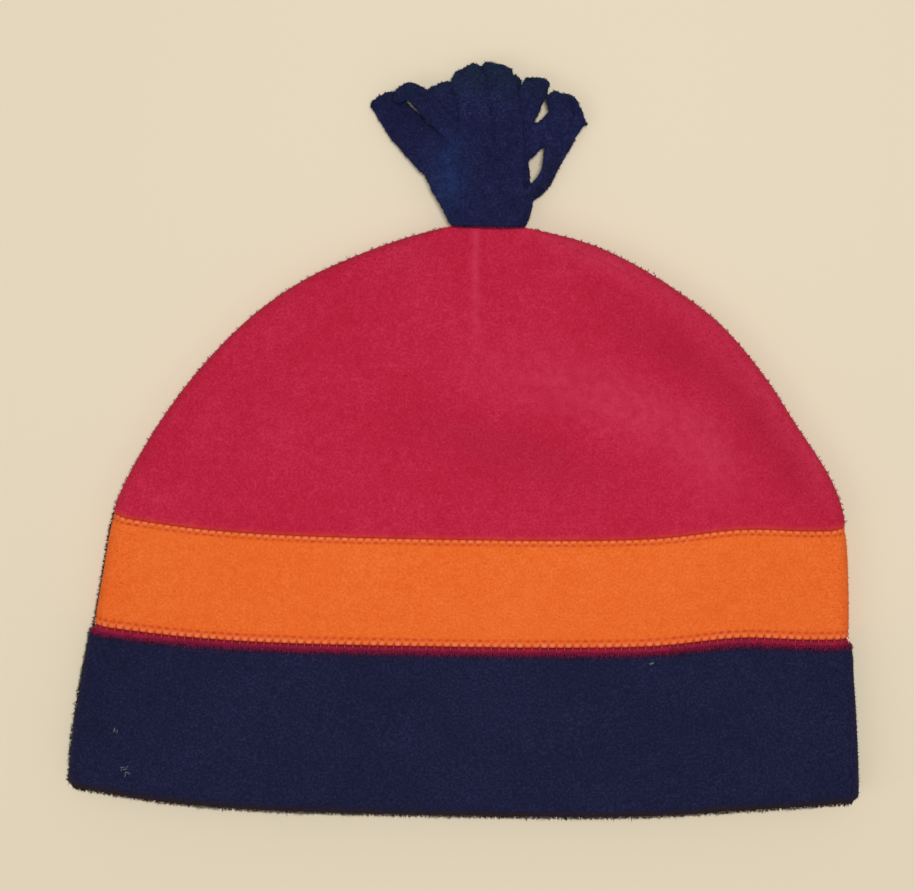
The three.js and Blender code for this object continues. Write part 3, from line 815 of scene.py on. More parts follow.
# %% Crown
def crown_rows(fine_step):
    """Rows up the crown, closer together in the groove and beside the band."""
    ups = np.r_[
        CUFF_TOP - CUFF_LAP, CUFF_TOP - 2, CUFF_TOP + np.array((-0.5, -0.1, 0.1, 0.4, 0.8, 1.2, 1.6, 2.0)),
        BAND_BOTTOM + np.array((-0.1, 0.1, 0.5)),
        np.linspace(BAND_BOTTOM + 3, BAND_TOP - 2, 5), BAND_TOP - 0.4,
        BAND_TOP + np.array((0, 0.06, 0.2, 0.6, 1.0, 1.5, 2.1, 2.9)),
        np.arange(BAND_TOP + 4, CROWN_TOP - 1.6, fine_step),
        CROWN_TOP - np.array((1.2, 0.7, 0.35, 0.12, 0)),
    ]
    depths = np.interp(ups, *CROWN_DEPTHS.T)
    return [(up, depth, up, depth + CROWN_CLOTH) for up, depth in zip(ups, depths)]


crown_marks = {
    "painted_crest_highlight": crown_crest_highlight, "groove": crown_groove, "seam": crown_seam, "glow": crown_glow,
    "ridge": RIDGE_HIGHLIGHT, "hollow": HOLLOW_SHADE, "rim": rim_mark(1, 1), "nap": crown_nap,
}
front_columns, front_run = even_columns(100.0, LEFT_FOLD + SEAM_GAP, RIGHT_FOLD + 4 - SEAM_GAP, 260)
back_columns, back_run = even_columns(100.0, RIGHT_FOLD + SEAM_GAP, LEFT_FOLD - SEAM_GAP, 130)
crown_front = lay_cloth(
    "crown_front_cloth", crown_rows(1.25), front_columns % 4, False, crown_relief, crown_marks)
crown_back = lay_cloth("crown_back_cloth", crown_rows(2.6), back_columns, False, None, crown_marks)
finish_piece(crown_front, CRIMSON, ("crown_front",))
finish_piece(crown_back, CRIMSON, ("crown_back",))
print("crown panels", round(front_run, 1), "and", round(back_run, 1), "mm round")

# %% [markdown]
# The cuff is one wide strip, sewn to the crown, folded double at the hem and turned back inside.
# Two rings laid one in the other would leave a crack at the hem. Its rows run down the outer layer,
# round the fold and up the inner layer instead, so it is one cloth with a real turned edge.

# %% Cuff
CUFF_CLOTH = 2.2
CUFF_POCKET = 0.4
CUFF_COLUMNS = 420
HEM_WAVE, HEM_WAVES_ROUND, HEM_WAVE_START = 0.16, 17.0, 0.8
HEM_WAVE_UP, HEM_WAVE_WIDE = 6, 7
SEWN_SWELL, SEWN_SWELL_DOWN, SEWN_SWELL_WIDE = 0.25, 5, 4


def cuff_rows():
    """Rows of the outer layer, the fold and the inner layer, from the inner top edge."""
    middle = CUFF_CLOTH + CUFF_POCKET / 2
    pocket = CUFF_POCKET / 2
    inner_top = CUFF_TOP - CUFF_LAP - 0.3
    edge = [(CUFF_TOP, 0.75), (CUFF_TOP - 0.1, 0.4), (CUFF_TOP - 0.35, 0.12), (CUFF_TOP - 0.8, 0)]
    rows = [(up, depth, up, CUFF_CLOTH) for up, depth in edge]
    for up in np.linspace(CUFF_TOP - 2, 2.6, 38):
        rows.append((up, 0, up, CUFF_CLOTH))
    for turn in np.linspace(0, math.pi, 11):
        sine, cosine = math.sin(turn), math.cos(turn)
        rows.append((middle - middle * sine, middle - middle * cosine,
                     middle - pocket * sine, middle - pocket * cosine))
    for up in np.linspace(4.5, inner_top, 16):
        rows.append((up, 2 * middle, up, 2 * middle - CUFF_CLOTH))
    return rows[::-1]


def cuff_relief(up, around):
    """Slow waves along the hem and a soft swell below the sewn edge."""
    wave = HEM_WAVE * np.sin(around * HEM_WAVES_ROUND + HEM_WAVE_START)
    swell = SEWN_SWELL * bell(up - CUFF_TOP + SEWN_SWELL_DOWN, SEWN_SWELL_WIDE)
    return wave * bell(up - HEM_WAVE_UP, HEM_WAVE_WIDE) + swell


def cuff_edge(up, around, depth):
    """Where crimson pile has caught along the sewn edge."""
    return smooth_step(up, CUFF_TOP - 1.1, CUFF_TOP - 0.1)


def cuff_hem_shade(up, around, depth):
    """Painted shade: the dark line along the folded hem."""
    return smooth_step(up, 3.0, 1.0)


def cuff_nap(up, around, depth):
    """Nap at the folds and along the hem, thin on the inner layer."""
    outer = smooth_step(depth, 4.2, 2.0)
    hem = smooth_step(up, 7, 1.5)
    return np.maximum(nap_at_folds(0.12)(up, around, depth), hem) * (0.12 + 0.88 * outer)


cuff_columns = even_columns(26.0, 0, 4, CUFF_COLUMNS)[0][:-1]
# The cuff's marks paint shade along the folded hem and on its outline, mostly the left one, and tint the sewn
# edge with caught crimson pile.
cuff_marks = {"edge": cuff_edge, "hem": cuff_hem_shade, "rim": rim_mark(0.9, 0.1), "nap": cuff_nap}
cuff = lay_cloth("cuff_cloth", cuff_rows(), cuff_columns, True, cuff_relief, cuff_marks)
finish_piece(cuff, NAVY, ("cuff",))

# %% [markdown]
# The tassel is a strip of fleece rolled up, uncut at its foot and cut into a fringe. A cloth
# simulation could roll and drop it, but the strips would not fall as these lie. Its foot is a soft
# loft through a few sections, and each strip is a flat ribbon along a smooth line through four
# places, some of them rolled about that line.

# %% Where the tassel's foot and strips lie
TASSEL_CLOTH = 1.9
ROOT_MIDDLE = 4.2
FOOT_MIDDLE = 4.85
FOOT_LOBES = 7
FOOT_LOBE_SHARE = 0.04
ROOT_TO_Y = 68.5

Foot = namedtuple("Foot", "y left right thick middle")
FOOT = (
    Foot(y=59.5, left=-5.8, right=13.8, thick=4.0, middle=ROOT_MIDDLE),
    Foot(y=64.0, left=-6.6, right=14.6, thick=4.0, middle=ROOT_MIDDLE),
    Foot(y=ROOT_TO_Y, left=-7.0, right=14.8, thick=4.0, middle=ROOT_MIDDLE),
    Foot(y=68.8, left=-7.6, right=15.2, thick=7.8, middle=FOOT_MIDDLE),
    Foot(y=72.0, left=-9.4, right=16.4, thick=9.2, middle=FOOT_MIDDLE),
    Foot(y=76.0, left=-11.6, right=17.2, thick=9.6, middle=FOOT_MIDDLE),
    Foot(y=80.5, left=-14.2, right=16.2, thick=9.2, middle=FOOT_MIDDLE),
    Foot(y=85.0, left=-16.2, right=16.0, thick=8.0, middle=FOOT_MIDDLE),
    Foot(y=88.5, left=-15.5, right=15.6, thick=5.0, middle=FOOT_MIDDLE),
)

Strip = namedtuple("Strip", "x y z wide end ends_over roll_from roll_to cut")
STRIPS = {
    "left low": Strip(
        (-6.5, -11.7, -20.2, -29.9), (79, 87.8, 96.6, 108), (5.6, 5.4, 4, 2.4),
        wide=12.2, end=9.6, ends_over=0.4, roll_from=-10, roll_to=-8, cut=-9),
    "left arch": Strip(
        (-4, -11.6, -19.8, -25.4), (94, 101, 109, 107.2), (6.4, 7, 6.6, 5.2),
        wide=6.6, end=4, ends_over=0.5, roll_from=4, roll_to=0, cut=0),
    "centre 1": Strip(
        (-5.5, -7.4, -9.6, -12.6), (80, 90, 101, 111.6), (6.2, 6, 4.8, 3.6),
        wide=9.6, end=9, ends_over=0.4, roll_from=-4, roll_to=4, cut=8),
    "centre 2": Strip(
        (1, 0.6, -1.05, -4.2), (80, 90, 104, 116.9), (7.4, 7.2, 5.4, 3.8),
        wide=9.8, end=10.2, ends_over=0.4, roll_from=2, roll_to=6, cut=9),
    "centre 3": Strip(
        (10, 10.1, 8.8, 5.6), (80, 90, 104, 118.2), (7.4, 7.4, 6, 4.4),
        wide=9.2, end=9.2, ends_over=0.4, roll_from=-2, roll_to=-4, cut=-19),
    "centre 4": Strip(
        (7.5, 8.5, 9, 9.4), (80, 90, 103, 115.7), (5, 4.4, 3.4, 2.4),
        wide=9.2, end=8.4, ends_over=0.4, roll_from=0, roll_to=4, cut=-4),
    "right 1": Strip(
        (11.6, 11.8, 13.8, 18.6), (80, 90, 102, 114.2), (5.6, 5.4, 4.8, 4),
        wide=8.4, end=8.4, ends_over=0.3, roll_from=8, roll_to=2, cut=12),
    "right 2": Strip(
        (9, 16, 25, 24.2), (87, 94.5, 101.8, 109.7), (4.6, 4.4, 5.2, 5),
        wide=7.8, end=6.8, ends_over=0.3, roll_from=6, roll_to=4, cut=-3),
    "right bow": Strip(
        (12.8, 20.8, 25.2, 31.4), (76, 83, 94.6, 105.9), (4.6, 4.6, 3.6, 3.4),
        wide=8.2, end=10.2, ends_over=0.13, roll_from=62, roll_to=4, cut=-24),
    "under left": Strip(
        (-4, -5.5, -6.8, -8.4), (80, 90, 100, 112), (3.4, 2.6, 1.6, 1.2),
        wide=9.4, end=8.8, ends_over=0.4, roll_from=0, roll_to=0, cut=6),
    "under centre": Strip(
        (3, 3, 2.6, 1), (80, 90, 102, 115.4), (3.2, 2.4, 1.4, 1.2),
        wide=9.4, end=8.8, ends_over=0.4, roll_from=0, roll_to=0, cut=-4),
    "under right": Strip(
        (9, 10.5, 12, 14.4), (80, 90, 100, 111.5), (3.2, 2.4, 1.4, 1.2),
        wide=9.4, end=8.8, ends_over=0.4, roll_from=0, roll_to=0, cut=5),
}

print("strips", len(STRIPS))


# %% Sections of the foot
FOOT_SQUARE = 0.7


def rounded(turn, square_across, square_up):
    """Shares across and up of a rounded rectangle's outline."""
    across, up = np.cos(turn), np.sin(turn)
    return np.sign(across) * np.abs(across) ** square_across, np.sign(up) * np.abs(up) ** square_up


def foot_rings(sides=64, between=5):
    """Sections of the rolled foot, with low lobes where the cloth is rolled."""
    rows = np.array(FOOT, float)
    share = np.linspace(0, len(rows) - 1, (len(rows) - 1) * between + 1)
    y, left, right, thick, middle = (np.interp(share, np.arange(len(rows)), c)[:, None] for c in rows.T)
    turn = np.linspace(0, 2 * math.pi, sides, endpoint=False)
    lobes = FOOT_LOBE_SHARE * (y > ROOT_TO_Y)
    swell = 1 + lobes * np.cos(FOOT_LOBES * turn)
    across, up = rounded(turn, FOOT_SQUARE, 1)
    x = (left + right) / 2 + (right - left) / 2 * across * swell
    return np.stack((x, y + 0 * x, middle + thick / 2 * up * swell), axis=-1)


# %% Sections of a strip
def line_through(places, t):
    """A smooth line through a few places (Catmull-Rom), and its direction."""
    p = np.array(places, float)
    p = np.vstack((2 * p[0] - p[1], p, 2 * p[-1] - p[-2]))
    spans = len(p) - 3
    where = np.clip(t * spans, 0, spans - 1e-9)
    i = where.astype(int)
    u = (where - i)[:, None]
    a, b, c, d = (p[i + k] for k in range(4))
    square, cube = 2 * a - 5 * b + 4 * c - d, 3 * b - a - 3 * c + d
    place = (2 * b + (c - a) * u + square * u ** 2 + cube * u ** 3) / 2
    return place, unit(c - a + 2 * square * u + 3 * cube * u ** 2)


SIDE_POINTS = 44
STRIP_OUTLINE = np.r_[np.linspace(1, -1, SIDE_POINTS), np.linspace(-1, 1, SIDE_POINTS)[1:-1]]
STRIP_UPPER = np.r_[np.ones(SIDE_POINTS), -np.ones(SIDE_POINTS - 2)]
STRIP_SQUARE = 6
SIDE_WAVES = ((19, 0.16), (41, 0.10))
ROLL_CHANGES = (0.35, 0.85)
CAMBER = 0.35
TIP_FROM, TIP_LONG, TIP_CLOSES = 0.985, 0.015, 0.55
TIP_WAVES = ((3, 0.25), (8, 0.2), (19, 0.75))
TIP_CORNER, TIP_CORNER_FROM = 0.45, 0.85


def strip_rings(strip, ragged, steps=56):
    """Sections of one strip: flat, with soft edges, a slightly ragged cut end and a low camber."""
    t = np.linspace(0, 1, steps + 1)
    middle, along = line_through(tuple(zip(strip.x, strip.y, strip.z)), t)
    level = unit(np.stack((along[:, 1], -along[:, 0], 0 * t), axis=1))
    roll = strip.roll_from + (strip.roll_to - strip.roll_from) * smooth_step(t, *ROLL_CHANGES)
    roll = np.radians(roll)[:, None]
    across = level * np.cos(roll) - np.cross(level, along) * np.sin(roll)
    up = np.cross(across, along)
    ended = smooth_step(t, 1 - strip.ends_over, 1)
    half = (strip.wide + (strip.end - strip.wide) * ended) / 2
    for waves, most in SIDE_WAVES:
        half = half + most * np.sin(ragged.uniform(0, 6) + t * waves)
    closing = np.sqrt(1 - TIP_CLOSES * np.clip((t - TIP_FROM) / TIP_LONG, 0, 1) ** 2)
    a = STRIP_OUTLINE
    b = STRIP_UPPER * np.sqrt(1 - np.abs(a) ** STRIP_SQUARE)
    wander = sum(
        ragged.uniform(0.5, 1) * most * np.sin(a * waves + ragged.uniform(0, 6)) for waves, most in TIP_WAVES)
    camber = CAMBER * (1 - a ** 2)
    reach = a * half[:, None] * closing[:, None]
    corners = TIP_CORNER * np.abs(a) ** 4 * smooth_step(t, TIP_CORNER_FROM, 1)[:, None]
    slide = a * (half * np.tan(np.radians(strip.cut)) * ended)[:, None] + wander * ended[:, None] - corners
    rise = b * TASSEL_CLOTH / 2 * closing[:, None] + camber * np.sin(math.pi * np.minimum(t, 0.5))[:, None]
    return (middle[:, None] + reach[..., None] * across[:, None]
            + slide[..., None] * along[:, None] + rise[..., None] * up[:, None])


def tube(rings):
    """Points and faces of a closed tube through rings, with a fan over each end."""
    count, sides = rings.shape[:2]
    number = np.arange(count * sides).reshape(count, sides)
    quads = grid_quads(number[:-1], number[1:], True, True).tolist()
    for ring, flip in ((number[0], 1), (number[-1], -1)):
        quads.append(ring[::flip].tolist())
    return rings.reshape(-1, 3), quads


def tassel_mesh():
    """The foot and all the strips as loose closed tubes in one mesh, in metres."""
    ragged = np.random.default_rng(4)
    points, faces = [], []
    for rings in [foot_rings()] + [strip_rings(strip, ragged) for strip in STRIPS.values()]:
        start = sum(len(p) for p in points)
        ring_points, ring_faces = tube(rings)
        points.append(ring_points)
        faces += [[start + i for i in face] for face in ring_faces]
    mesh = bpy.data.meshes.new("tassel_cloth")
    mesh.from_pydata(((np.concatenate(points) + SHIFT) * MM).tolist(), [], faces)
    return mesh


# %% [markdown]
# As separate tubes, the foot and the strips would cross each other with hard lines. A boolean union would
# weld them but keep every crease sharp. They are joined, rebuilt as one skin of small even faces and smoothed
# a little, as cloth that has been lying pressed together. Marks then paint a blue highlight on the foot's
# left side and make the strips darker and greener toward the tips.

# %% One skin over the tassel
TASSEL_FACE = 0.00042
TASSEL_SMOOTHING = 2
TASSEL_SOFTEN = 0.5
NAP_FROM_Y = (ROOT_TO_Y + 0.4, ROOT_TO_Y + 2)
FOOT_HIGHLIGHT_AT = (-8.5, 84.0)
FOOT_HIGHLIGHT_WIDE = (5.0, 11.0)
TIPS_DARKER_FROM, TIPS_DARKER_TO = 103.0, 116.0


def plain_mesh(piece):
    """The piece's mesh as its modifiers leave it, as a plain mesh of its own."""
    evaluated = piece.evaluated_get(bpy.context.evaluated_depsgraph_get())
    return bpy.data.meshes.new_from_object(evaluated)


def add_tassel():
    """The tassel as one cloth, with its marks for nap, for a painted highlight on the foot and for darker
    tips.
    """
    piece = bpy.data.objects.new("tassel_cloth", tassel_mesh())
    bpy.context.scene.collection.objects.link(piece)
    skin_over = piece.modifiers.new("one skin", "REMESH")
    skin_over.mode = "VOXEL"
    skin_over.voxel_size = TASSEL_FACE
    soften = piece.modifiers.new("soften", "SMOOTH")
    soften.factor = TASSEL_SOFTEN
    soften.iterations = TASSEL_SMOOTHING
    bpy.context.view_layer.update()
    piece.data = plain_mesh(piece)
    piece.modifiers.clear()
    places = np.empty(len(piece.data.vertices) * 3)
    piece.data.vertices.foreach_get("co", places)
    places = places.reshape(-1, 3) / MM - SHIFT
    grows = smooth_step(places[:, 1], *NAP_FROM_Y) * smooth_step(places[:, 2], *NAP_OFF_FLOOR)
    # A painted blue highlight on the foot's left side.
    painted_foot_highlight = np.exp(-(((places[:, :2] - FOOT_HIGHLIGHT_AT) / FOOT_HIGHLIGHT_WIDE) ** 2).sum(axis=1))
    # The strips darker and greener toward their tips.
    darker_to_tips = smooth_step(places[:, 1], TIPS_DARKER_FROM, TIPS_DARKER_TO)
    for mark, values in (("nap", grows), ("painted_foot_highlight", painted_foot_highlight), ("darker_to_tips", darker_to_tips)):
        piece.data.attributes.new(mark, "FLOAT", "POINT").data.foreach_set("value", values)
    piece.data.shade_smooth()
    finish_piece(piece, TASSEL_NAVY, ("tassel",))
    print("tassel", len(piece.data.polygons) * 2, "triangles, lowest", round(places[:, 2].min(), 2), "mm")
    return piece


tassel = add_tassel()

# %% [markdown]
# Nap is thousands of short curled fibres. Particle hair would do it, but it exports badly, so
# Geometry Nodes scatter one small spike over each cloth, leaning every way. The cloth's nap attribute
# says how thickly they grow: most where the cloth turns away at an outline, because there the pile
# shows against what lies behind.

# %% Geometry trees
SPIKE_SIDES = 3


def tree_with(name, inputs):
    """A geometry tree with named inputs, and its graph, input node and output node."""
    tree = bpy.data.node_groups.new(name, "GeometryNodeTree")
    tree.interface.new_socket("Geometry", in_out="INPUT", socket_type="NodeSocketGeometry")
    for key, kind in inputs.items():
        tree.interface.new_socket(key, in_out="INPUT", socket_type=kind)
    tree.interface.new_socket("Geometry", in_out="OUTPUT", socket_type="NodeSocketGeometry")
    graph = Graph(tree)
    return tree, graph, graph.node("NodeGroupInput").outputs, graph.node("NodeGroupOutput").inputs[0]


def spike_shape(graph, given):
    """A spike with few faces, as long and as wide as the inputs say."""
    spike = graph.node("GeometryNodeMeshCone", {}, {
        "Vertices": SPIKE_SIDES, "Radius Top": 0.0,
        "Radius Bottom": given["Width"], "Depth": given["Length"]})
    return spike.outputs["Mesh"]


# %% Growing nap
NAP_LEAN = 1.1
NAP_SIZES = (0.55, 1.25)
NAP_INPUTS = {
    "Density": "NodeSocketFloat", "Length": "NodeSocketFloat", "Width": "NodeSocketFloat",
    "Lean": "NodeSocketFloat", "Seed": "NodeSocketInt", "Material": "NodeSocketMaterial",
}


def named(graph, name, kind="FLOAT_VECTOR"):
    """A named attribute of the geometry."""
    node = graph.node("GeometryNodeInputNamedAttribute", {"data_type": kind}, {"Name": name})
    return node.outputs["Attribute"]


def nap_tree():
    """Spikes scattered where the nap attribute says, each leaning and sized at random."""
    tree, graph, given, output = tree_with("nap", NAP_INPUTS)
    density = Value(graph, named(graph, "nap", "FLOAT")) * given["Density"]
    points = graph.node("GeometryNodeDistributePointsOnFaces", {"distribute_method": "RANDOM"},
                        {"Mesh": given["Geometry"], "Density": density, "Seed": given["Seed"]})
    other_way = -1.0 * Value(graph, given["Lean"])
    least = graph.node("ShaderNodeCombineXYZ", {}, {0: other_way, 1: other_way, 2: 0.0})
    most = graph.node("ShaderNodeCombineXYZ", {}, {0: given["Lean"], 1: given["Lean"], 2: 2 * math.pi})
    lean = graph.node("FunctionNodeRandomValue", {"data_type": "FLOAT_VECTOR"},
                      {0: least.outputs[0], 1: most.outputs[0], "Seed": given["Seed"]})
    leaning = graph.node("FunctionNodeRotateRotation", {"rotation_space": "LOCAL"},
                         {0: points.outputs["Rotation"], 1: lean.outputs[0]})
    size = graph.node("FunctionNodeRandomValue", {"data_type": "FLOAT"},
                      {2: NAP_SIZES[0], 3: NAP_SIZES[1], "Seed": given["Seed"]})
    spikes = graph.node("GeometryNodeInstanceOnPoints", {}, {
        "Points": points.outputs["Points"], "Instance": spike_shape(graph, given),
        "Rotation": leaning.outputs[0], "Scale": size.outputs[1]})
    real = graph.node("GeometryNodeRealizeInstances", {}, {0: spikes.outputs[0]})
    finished = graph.node("GeometryNodeSetMaterial", {}, {0: real.outputs[0], "Material": given["Material"]})
    graph.feed(output, finished.outputs[0])
    return tree


def run_tree(name, tree, source, values):
    """A new piece: what the tree makes of the source's mesh, with the named inputs set."""
    piece = bpy.data.objects.new(name, source)
    bpy.context.scene.collection.objects.link(piece)
    modifier = piece.modifiers.new(tree.name, "NODES")
    modifier.node_group = tree
    for item in tree.interface.items_tree:
        if item.in_out == "INPUT" and item.name in values:
            modifier[item.identifier] = values[item.name]
    piece.update_tag()
    bpy.context.view_layer.update()
    mesh = plain_mesh(piece)
    piece.modifiers.clear()
    piece.data = mesh
    return piece


NAP = nap_tree()


def grow_nap(cloth, name, material, density, length, width, seed):
    """Spikes over a cloth, density in spikes for each square millimetre."""
    piece = run_tree(name, NAP, cloth.data, {
        "Density": density / MM ** 2, "Length": length * MM, "Width": width * MM, "Lean": NAP_LEAN,
        "Seed": seed, "Material": material})
    piece.data.shade_smooth()
    finish_piece(piece, material)
    print(name, len(piece.data.polygons), "faces")
    return piece


crown_nap_piece = grow_nap(
    crown_front, "crown_nap", CRIMSON, density=1.4, length=0.7, width=0.09, seed=1)
band_nap_piece = grow_nap(
    band, "band_nap", ORANGE, density=1.4, length=0.6, width=0.08, seed=2)
cuff_nap_piece = grow_nap(
    cuff, "cuff_nap", NAVY, density=1.2, length=0.7, width=0.09, seed=3)
grow_nap(tassel, "tassel_nap", TASSEL_NAVY, density=3.5, length=0.7, width=0.12, seed=4)

# %% [markdown]
# Thread, fuzz along the edges and lint are each one small shape copied to chosen places. An Array
# modifier repeats a shape only at one even step, so the places are a mesh of loose points instead,
# which also says which way each copy stands and how large it is. Two small trees copy the shapes
# there: a bent thread for stitches and lint, a spike for fuzz.

# %% Copies at chosen places
STITCH_INPUTS = {
    "Start": "NodeSocketVector", "Middle": "NodeSocketVector", "End": "NodeSocketVector",
    "Radius": "NodeSocketFloat", "Material": "NodeSocketMaterial",
}
SPIKE_INPUTS = {"Length": "NodeSocketFloat", "Width": "NodeSocketFloat", "Material": "NodeSocketMaterial"}


def points_mesh(name, places, out, across, size):
    """Loose points, each with the directions out and across and the size of its copy."""
    mesh = bpy.data.meshes.new(name)
    mesh.from_pydata(places.tolist(), [], [])
    for key, values in (("out", out), ("across", across)):
        mesh.attributes.new(key, "FLOAT_VECTOR", "POINT").data.foreach_set("vector", np.ravel(values))
    mesh.attributes.new("size", "FLOAT", "POINT").data.foreach_set("value", size)
    return mesh


def copy_to_points(graph, given, output, shape, turn):
    """The end of a tree: the shape at each point, turned and sized, as one plain mesh."""
    copies = graph.node("GeometryNodeInstanceOnPoints", {}, {
        "Points": given["Geometry"], "Instance": shape, "Rotation": turn,
        "Scale": named(graph, "size", "FLOAT")})
    real = graph.node("GeometryNodeRealizeInstances", {}, {0: copies.outputs[0]})
    finished = graph.node("GeometryNodeSetMaterial", {}, {0: real.outputs[0], "Material": given["Material"]})
    graph.feed(output, finished.outputs[0])


# %% The thread's tree and the spike's tree
BEND_STEPS = 6
THREAD_SIDES = 5


def stitch_tree():
    """A bent thread at each point, with its Z along out and its Y along across."""
    tree, graph, given, output = tree_with("stitches", STITCH_INPUTS)
    line = graph.node("GeometryNodeCurveQuadraticBezier", {}, {
        "Resolution": BEND_STEPS, "Start": given["Start"], "Middle": given["Middle"], "End": given["End"]})
    section = graph.node("GeometryNodeCurvePrimitiveCircle", {}, {
        "Resolution": THREAD_SIDES, "Radius": given["Radius"]})
    thread = graph.node("GeometryNodeCurveToMesh", {}, {
        "Curve": line.outputs[0], "Profile Curve": section.outputs[0], "Fill Caps": True})
    turn = graph.node("FunctionNodeAxesToRotation", {"primary_axis": "Z", "secondary_axis": "Y"},
                      {0: named(graph, "out"), 1: named(graph, "across")})
    copy_to_points(graph, given, output, thread.outputs[0], turn.outputs[0])
    return tree


def spike_tree():
    """A spike at each point, standing along out."""
    tree, graph, given, output = tree_with("spikes", SPIKE_INPUTS)
    turn = graph.node("FunctionNodeAlignRotationToVector", {"axis": "Z"}, {"Vector": named(graph, "out")})
    copy_to_points(graph, given, output, spike_shape(graph, given), turn.outputs[0])
    return tree


STITCHING, SPIKES = stitch_tree(), spike_tree()


def climb_at(up, around):
    """The direction up the hat along its skin."""
    return unit(skin(np.minimum(up + TINY, CROWN_TOP), around) - skin(np.maximum(up - TINY, 0), around))


def add_threads(name, points, line, radius, material):
    """Bent threads at the points. line is their start, middle and end as (across, out) in mm."""
    start, middle, end = (Vector((0, across * MM, out * MM)) for across, out in line)
    piece = run_tree(name, STITCHING, points, {
        "Start": start, "Middle": middle, "End": end, "Radius": radius * MM, "Material": material})
    piece.data.shade_smooth()
    finish_piece(piece, material)
    print(name, len(piece.data.polygons), "faces")
    return piece


# %% [markdown]
# An overlock thread crosses the band's cut edge at every stitch and pulls the cloth in between two
# puffs. Threads could be drawn as dark lines in the material. Real ones catch the light, so one bent
# thread is copied to each gap, a little thinner where the side folds press the seam flat.

# %% Stitches over the band's edges
STITCH_RADIUS = 0.18
TOP_STITCH = ((-0.35, -0.1), (0.15, 0.4), (0.85, 0.3))
BOTTOM_STITCH = ((-0.5, -0.3), (0.2, 0.2), (0.8, 0.1))


def add_stitches(name, edge, toward, line):
    """One thread over the edge at each gap between two puffs, thinner where the folds press it."""
    depth = np.full(STITCHES, BAND_FACE)
    places = in_cloth(edge, STITCH_AROUND, depth)
    points = points_mesh(name, places, outward(edge, STITCH_AROUND), climb_at(edge, STITCH_AROUND) * toward,
                         0.5 + 0.5 * pressed_flat(STITCH_AROUND))
    return add_threads(name, points, line, STITCH_RADIUS, THREAD)


top_stitches = add_stitches("top_stitches", BAND_TOP, 1, TOP_STITCH)
bottom_stitches = add_stitches("bottom_stitches", BAND_BOTTOM, -1, BOTTOM_STITCH)

# %% [markdown]
# Where a cut or seamed edge makes the outline, its pile stands off in small uneven tufts. Their colours carry
# painted shade: dark maroon along the crown's side seams, and dark brown along the left of the band and cuff
# and along the hem. In the groove the crimson pile leans over the navy edge, and a few navy fibres lean back.
# More nap could be scattered there, but it grows evenly. Spikes in small clumps along a line look as ragged
# as the real edge does.

# %% Clumps of pile along a line
TUFT_EVERY = 1.6
LEFT_EVERY = 0.4
Tuft = namedtuple("Tuft", "spikes spread lean length width")


def add_fuzz(name, line, tuft, material, seed):
    """A tuft of spikes at each place along the line, spread and leaning at random, in one piece."""
    chance = np.random.default_rng(seed)
    places, out = (np.repeat(part, tuft.spikes, axis=0) for part in line)
    places = places + chance.normal(0, tuft.spread * MM, places.shape)
    out = unit(out + chance.normal(0, tuft.lean, places.shape))
    points = points_mesh(name, places, out, out, chance.uniform(0.5, 1.0, len(places)))
    piece = run_tree(name, SPIKES, points, {
        "Length": tuft.length * MM, "Width": tuft.width * MM, "Material": material})
    piece.data.shade_smooth()
    finish_piece(piece, material)
    print(name, len(piece.data.polygons), "faces")
    return piece


def side_line(around, low, high, every, depth):
    """Places and directions out along a side fold between two heights up the hat."""
    ups = np.arange(low, high, every)
    arounds = np.full_like(ups, around)
    return in_cloth(ups, arounds, np.full_like(ups, depth)), outward(ups, arounds)


def across_line(up, depth, columns, out_share, climb_share):
    """Places and directions along one height, leaning out of the skin and up the hat by the shares."""
    lean = outward(up, columns) * out_share + climb_at(up, columns) * climb_share
    return in_cloth(up, columns, np.full_like(columns, depth)), unit(lean)


def together(*lines):
    """Several lines of places and directions as one."""
    return [np.concatenate(parts) for parts in zip(*lines)]


# %% Fuzz on the crown
seams = together(
    side_line(LEFT_FOLD, BAND_TOP + 1, CROWN_TOP - 1, TUFT_EVERY, depth=0.4),
    side_line(RIGHT_FOLD, BAND_TOP + 1, CROWN_TOP - 1, TUFT_EVERY, depth=0.4))
SEAM_TUFT = Tuft(spikes=12, spread=0.34, lean=0.6, length=0.95, width=0.2)
# Real seam tufts, darkened maroon with painted shade.
crown_fuzz = add_fuzz("crown_seam_fuzz", seams, SEAM_TUFT, SHADED_SEAM_PILE, seed=5)

foot_columns = even_columns(CROWN_TOP, 0.02, 0.98, 60)[0]
foot_line = across_line(CROWN_TOP, 0.4, foot_columns, out_share=0.3, climb_share=1)
FOOT_TUFT = Tuft(spikes=6, spread=0.3, lean=0.5, length=0.9, width=0.16)
foot_fuzz = add_fuzz("foot_fuzz", foot_line, FOOT_TUFT, GROOVE_PILE, seed=10)

# %% Fuzz on the hem and the left edge
# These tufts are real pile, but their dark brown is painted shade along the hem, the left edge and the left
# corner.
hem_columns = even_columns(0.0, -0.5, 1.4, 800)[0]
hem_depth = CUFF_CLOTH + CUFF_POCKET / 2 - 0.3
hem_line = across_line(0.0, hem_depth, hem_columns, out_share=0, climb_share=-1)
HEM_TUFT = Tuft(spikes=6, spread=0.28, lean=0.5, length=1.1, width=0.19)
hem_fuzz = add_fuzz("hem_fuzz", hem_line, HEM_TUFT, SHADED_EDGE_PILE, seed=6)

left_line = together(
    side_line(LEFT_FOLD, 1, CUFF_TOP, LEFT_EVERY, depth=0.0),
    side_line(LEFT_FOLD, CUFF_TOP, BAND_TOP, LEFT_EVERY, depth=0.7))
LEFT_TUFT = Tuft(spikes=7, spread=0.25, lean=0.6, length=1.0, width=0.2)
left_fuzz = add_fuzz("left_edge_fuzz", left_line, LEFT_TUFT, SHADED_EDGE_PILE, seed=11)

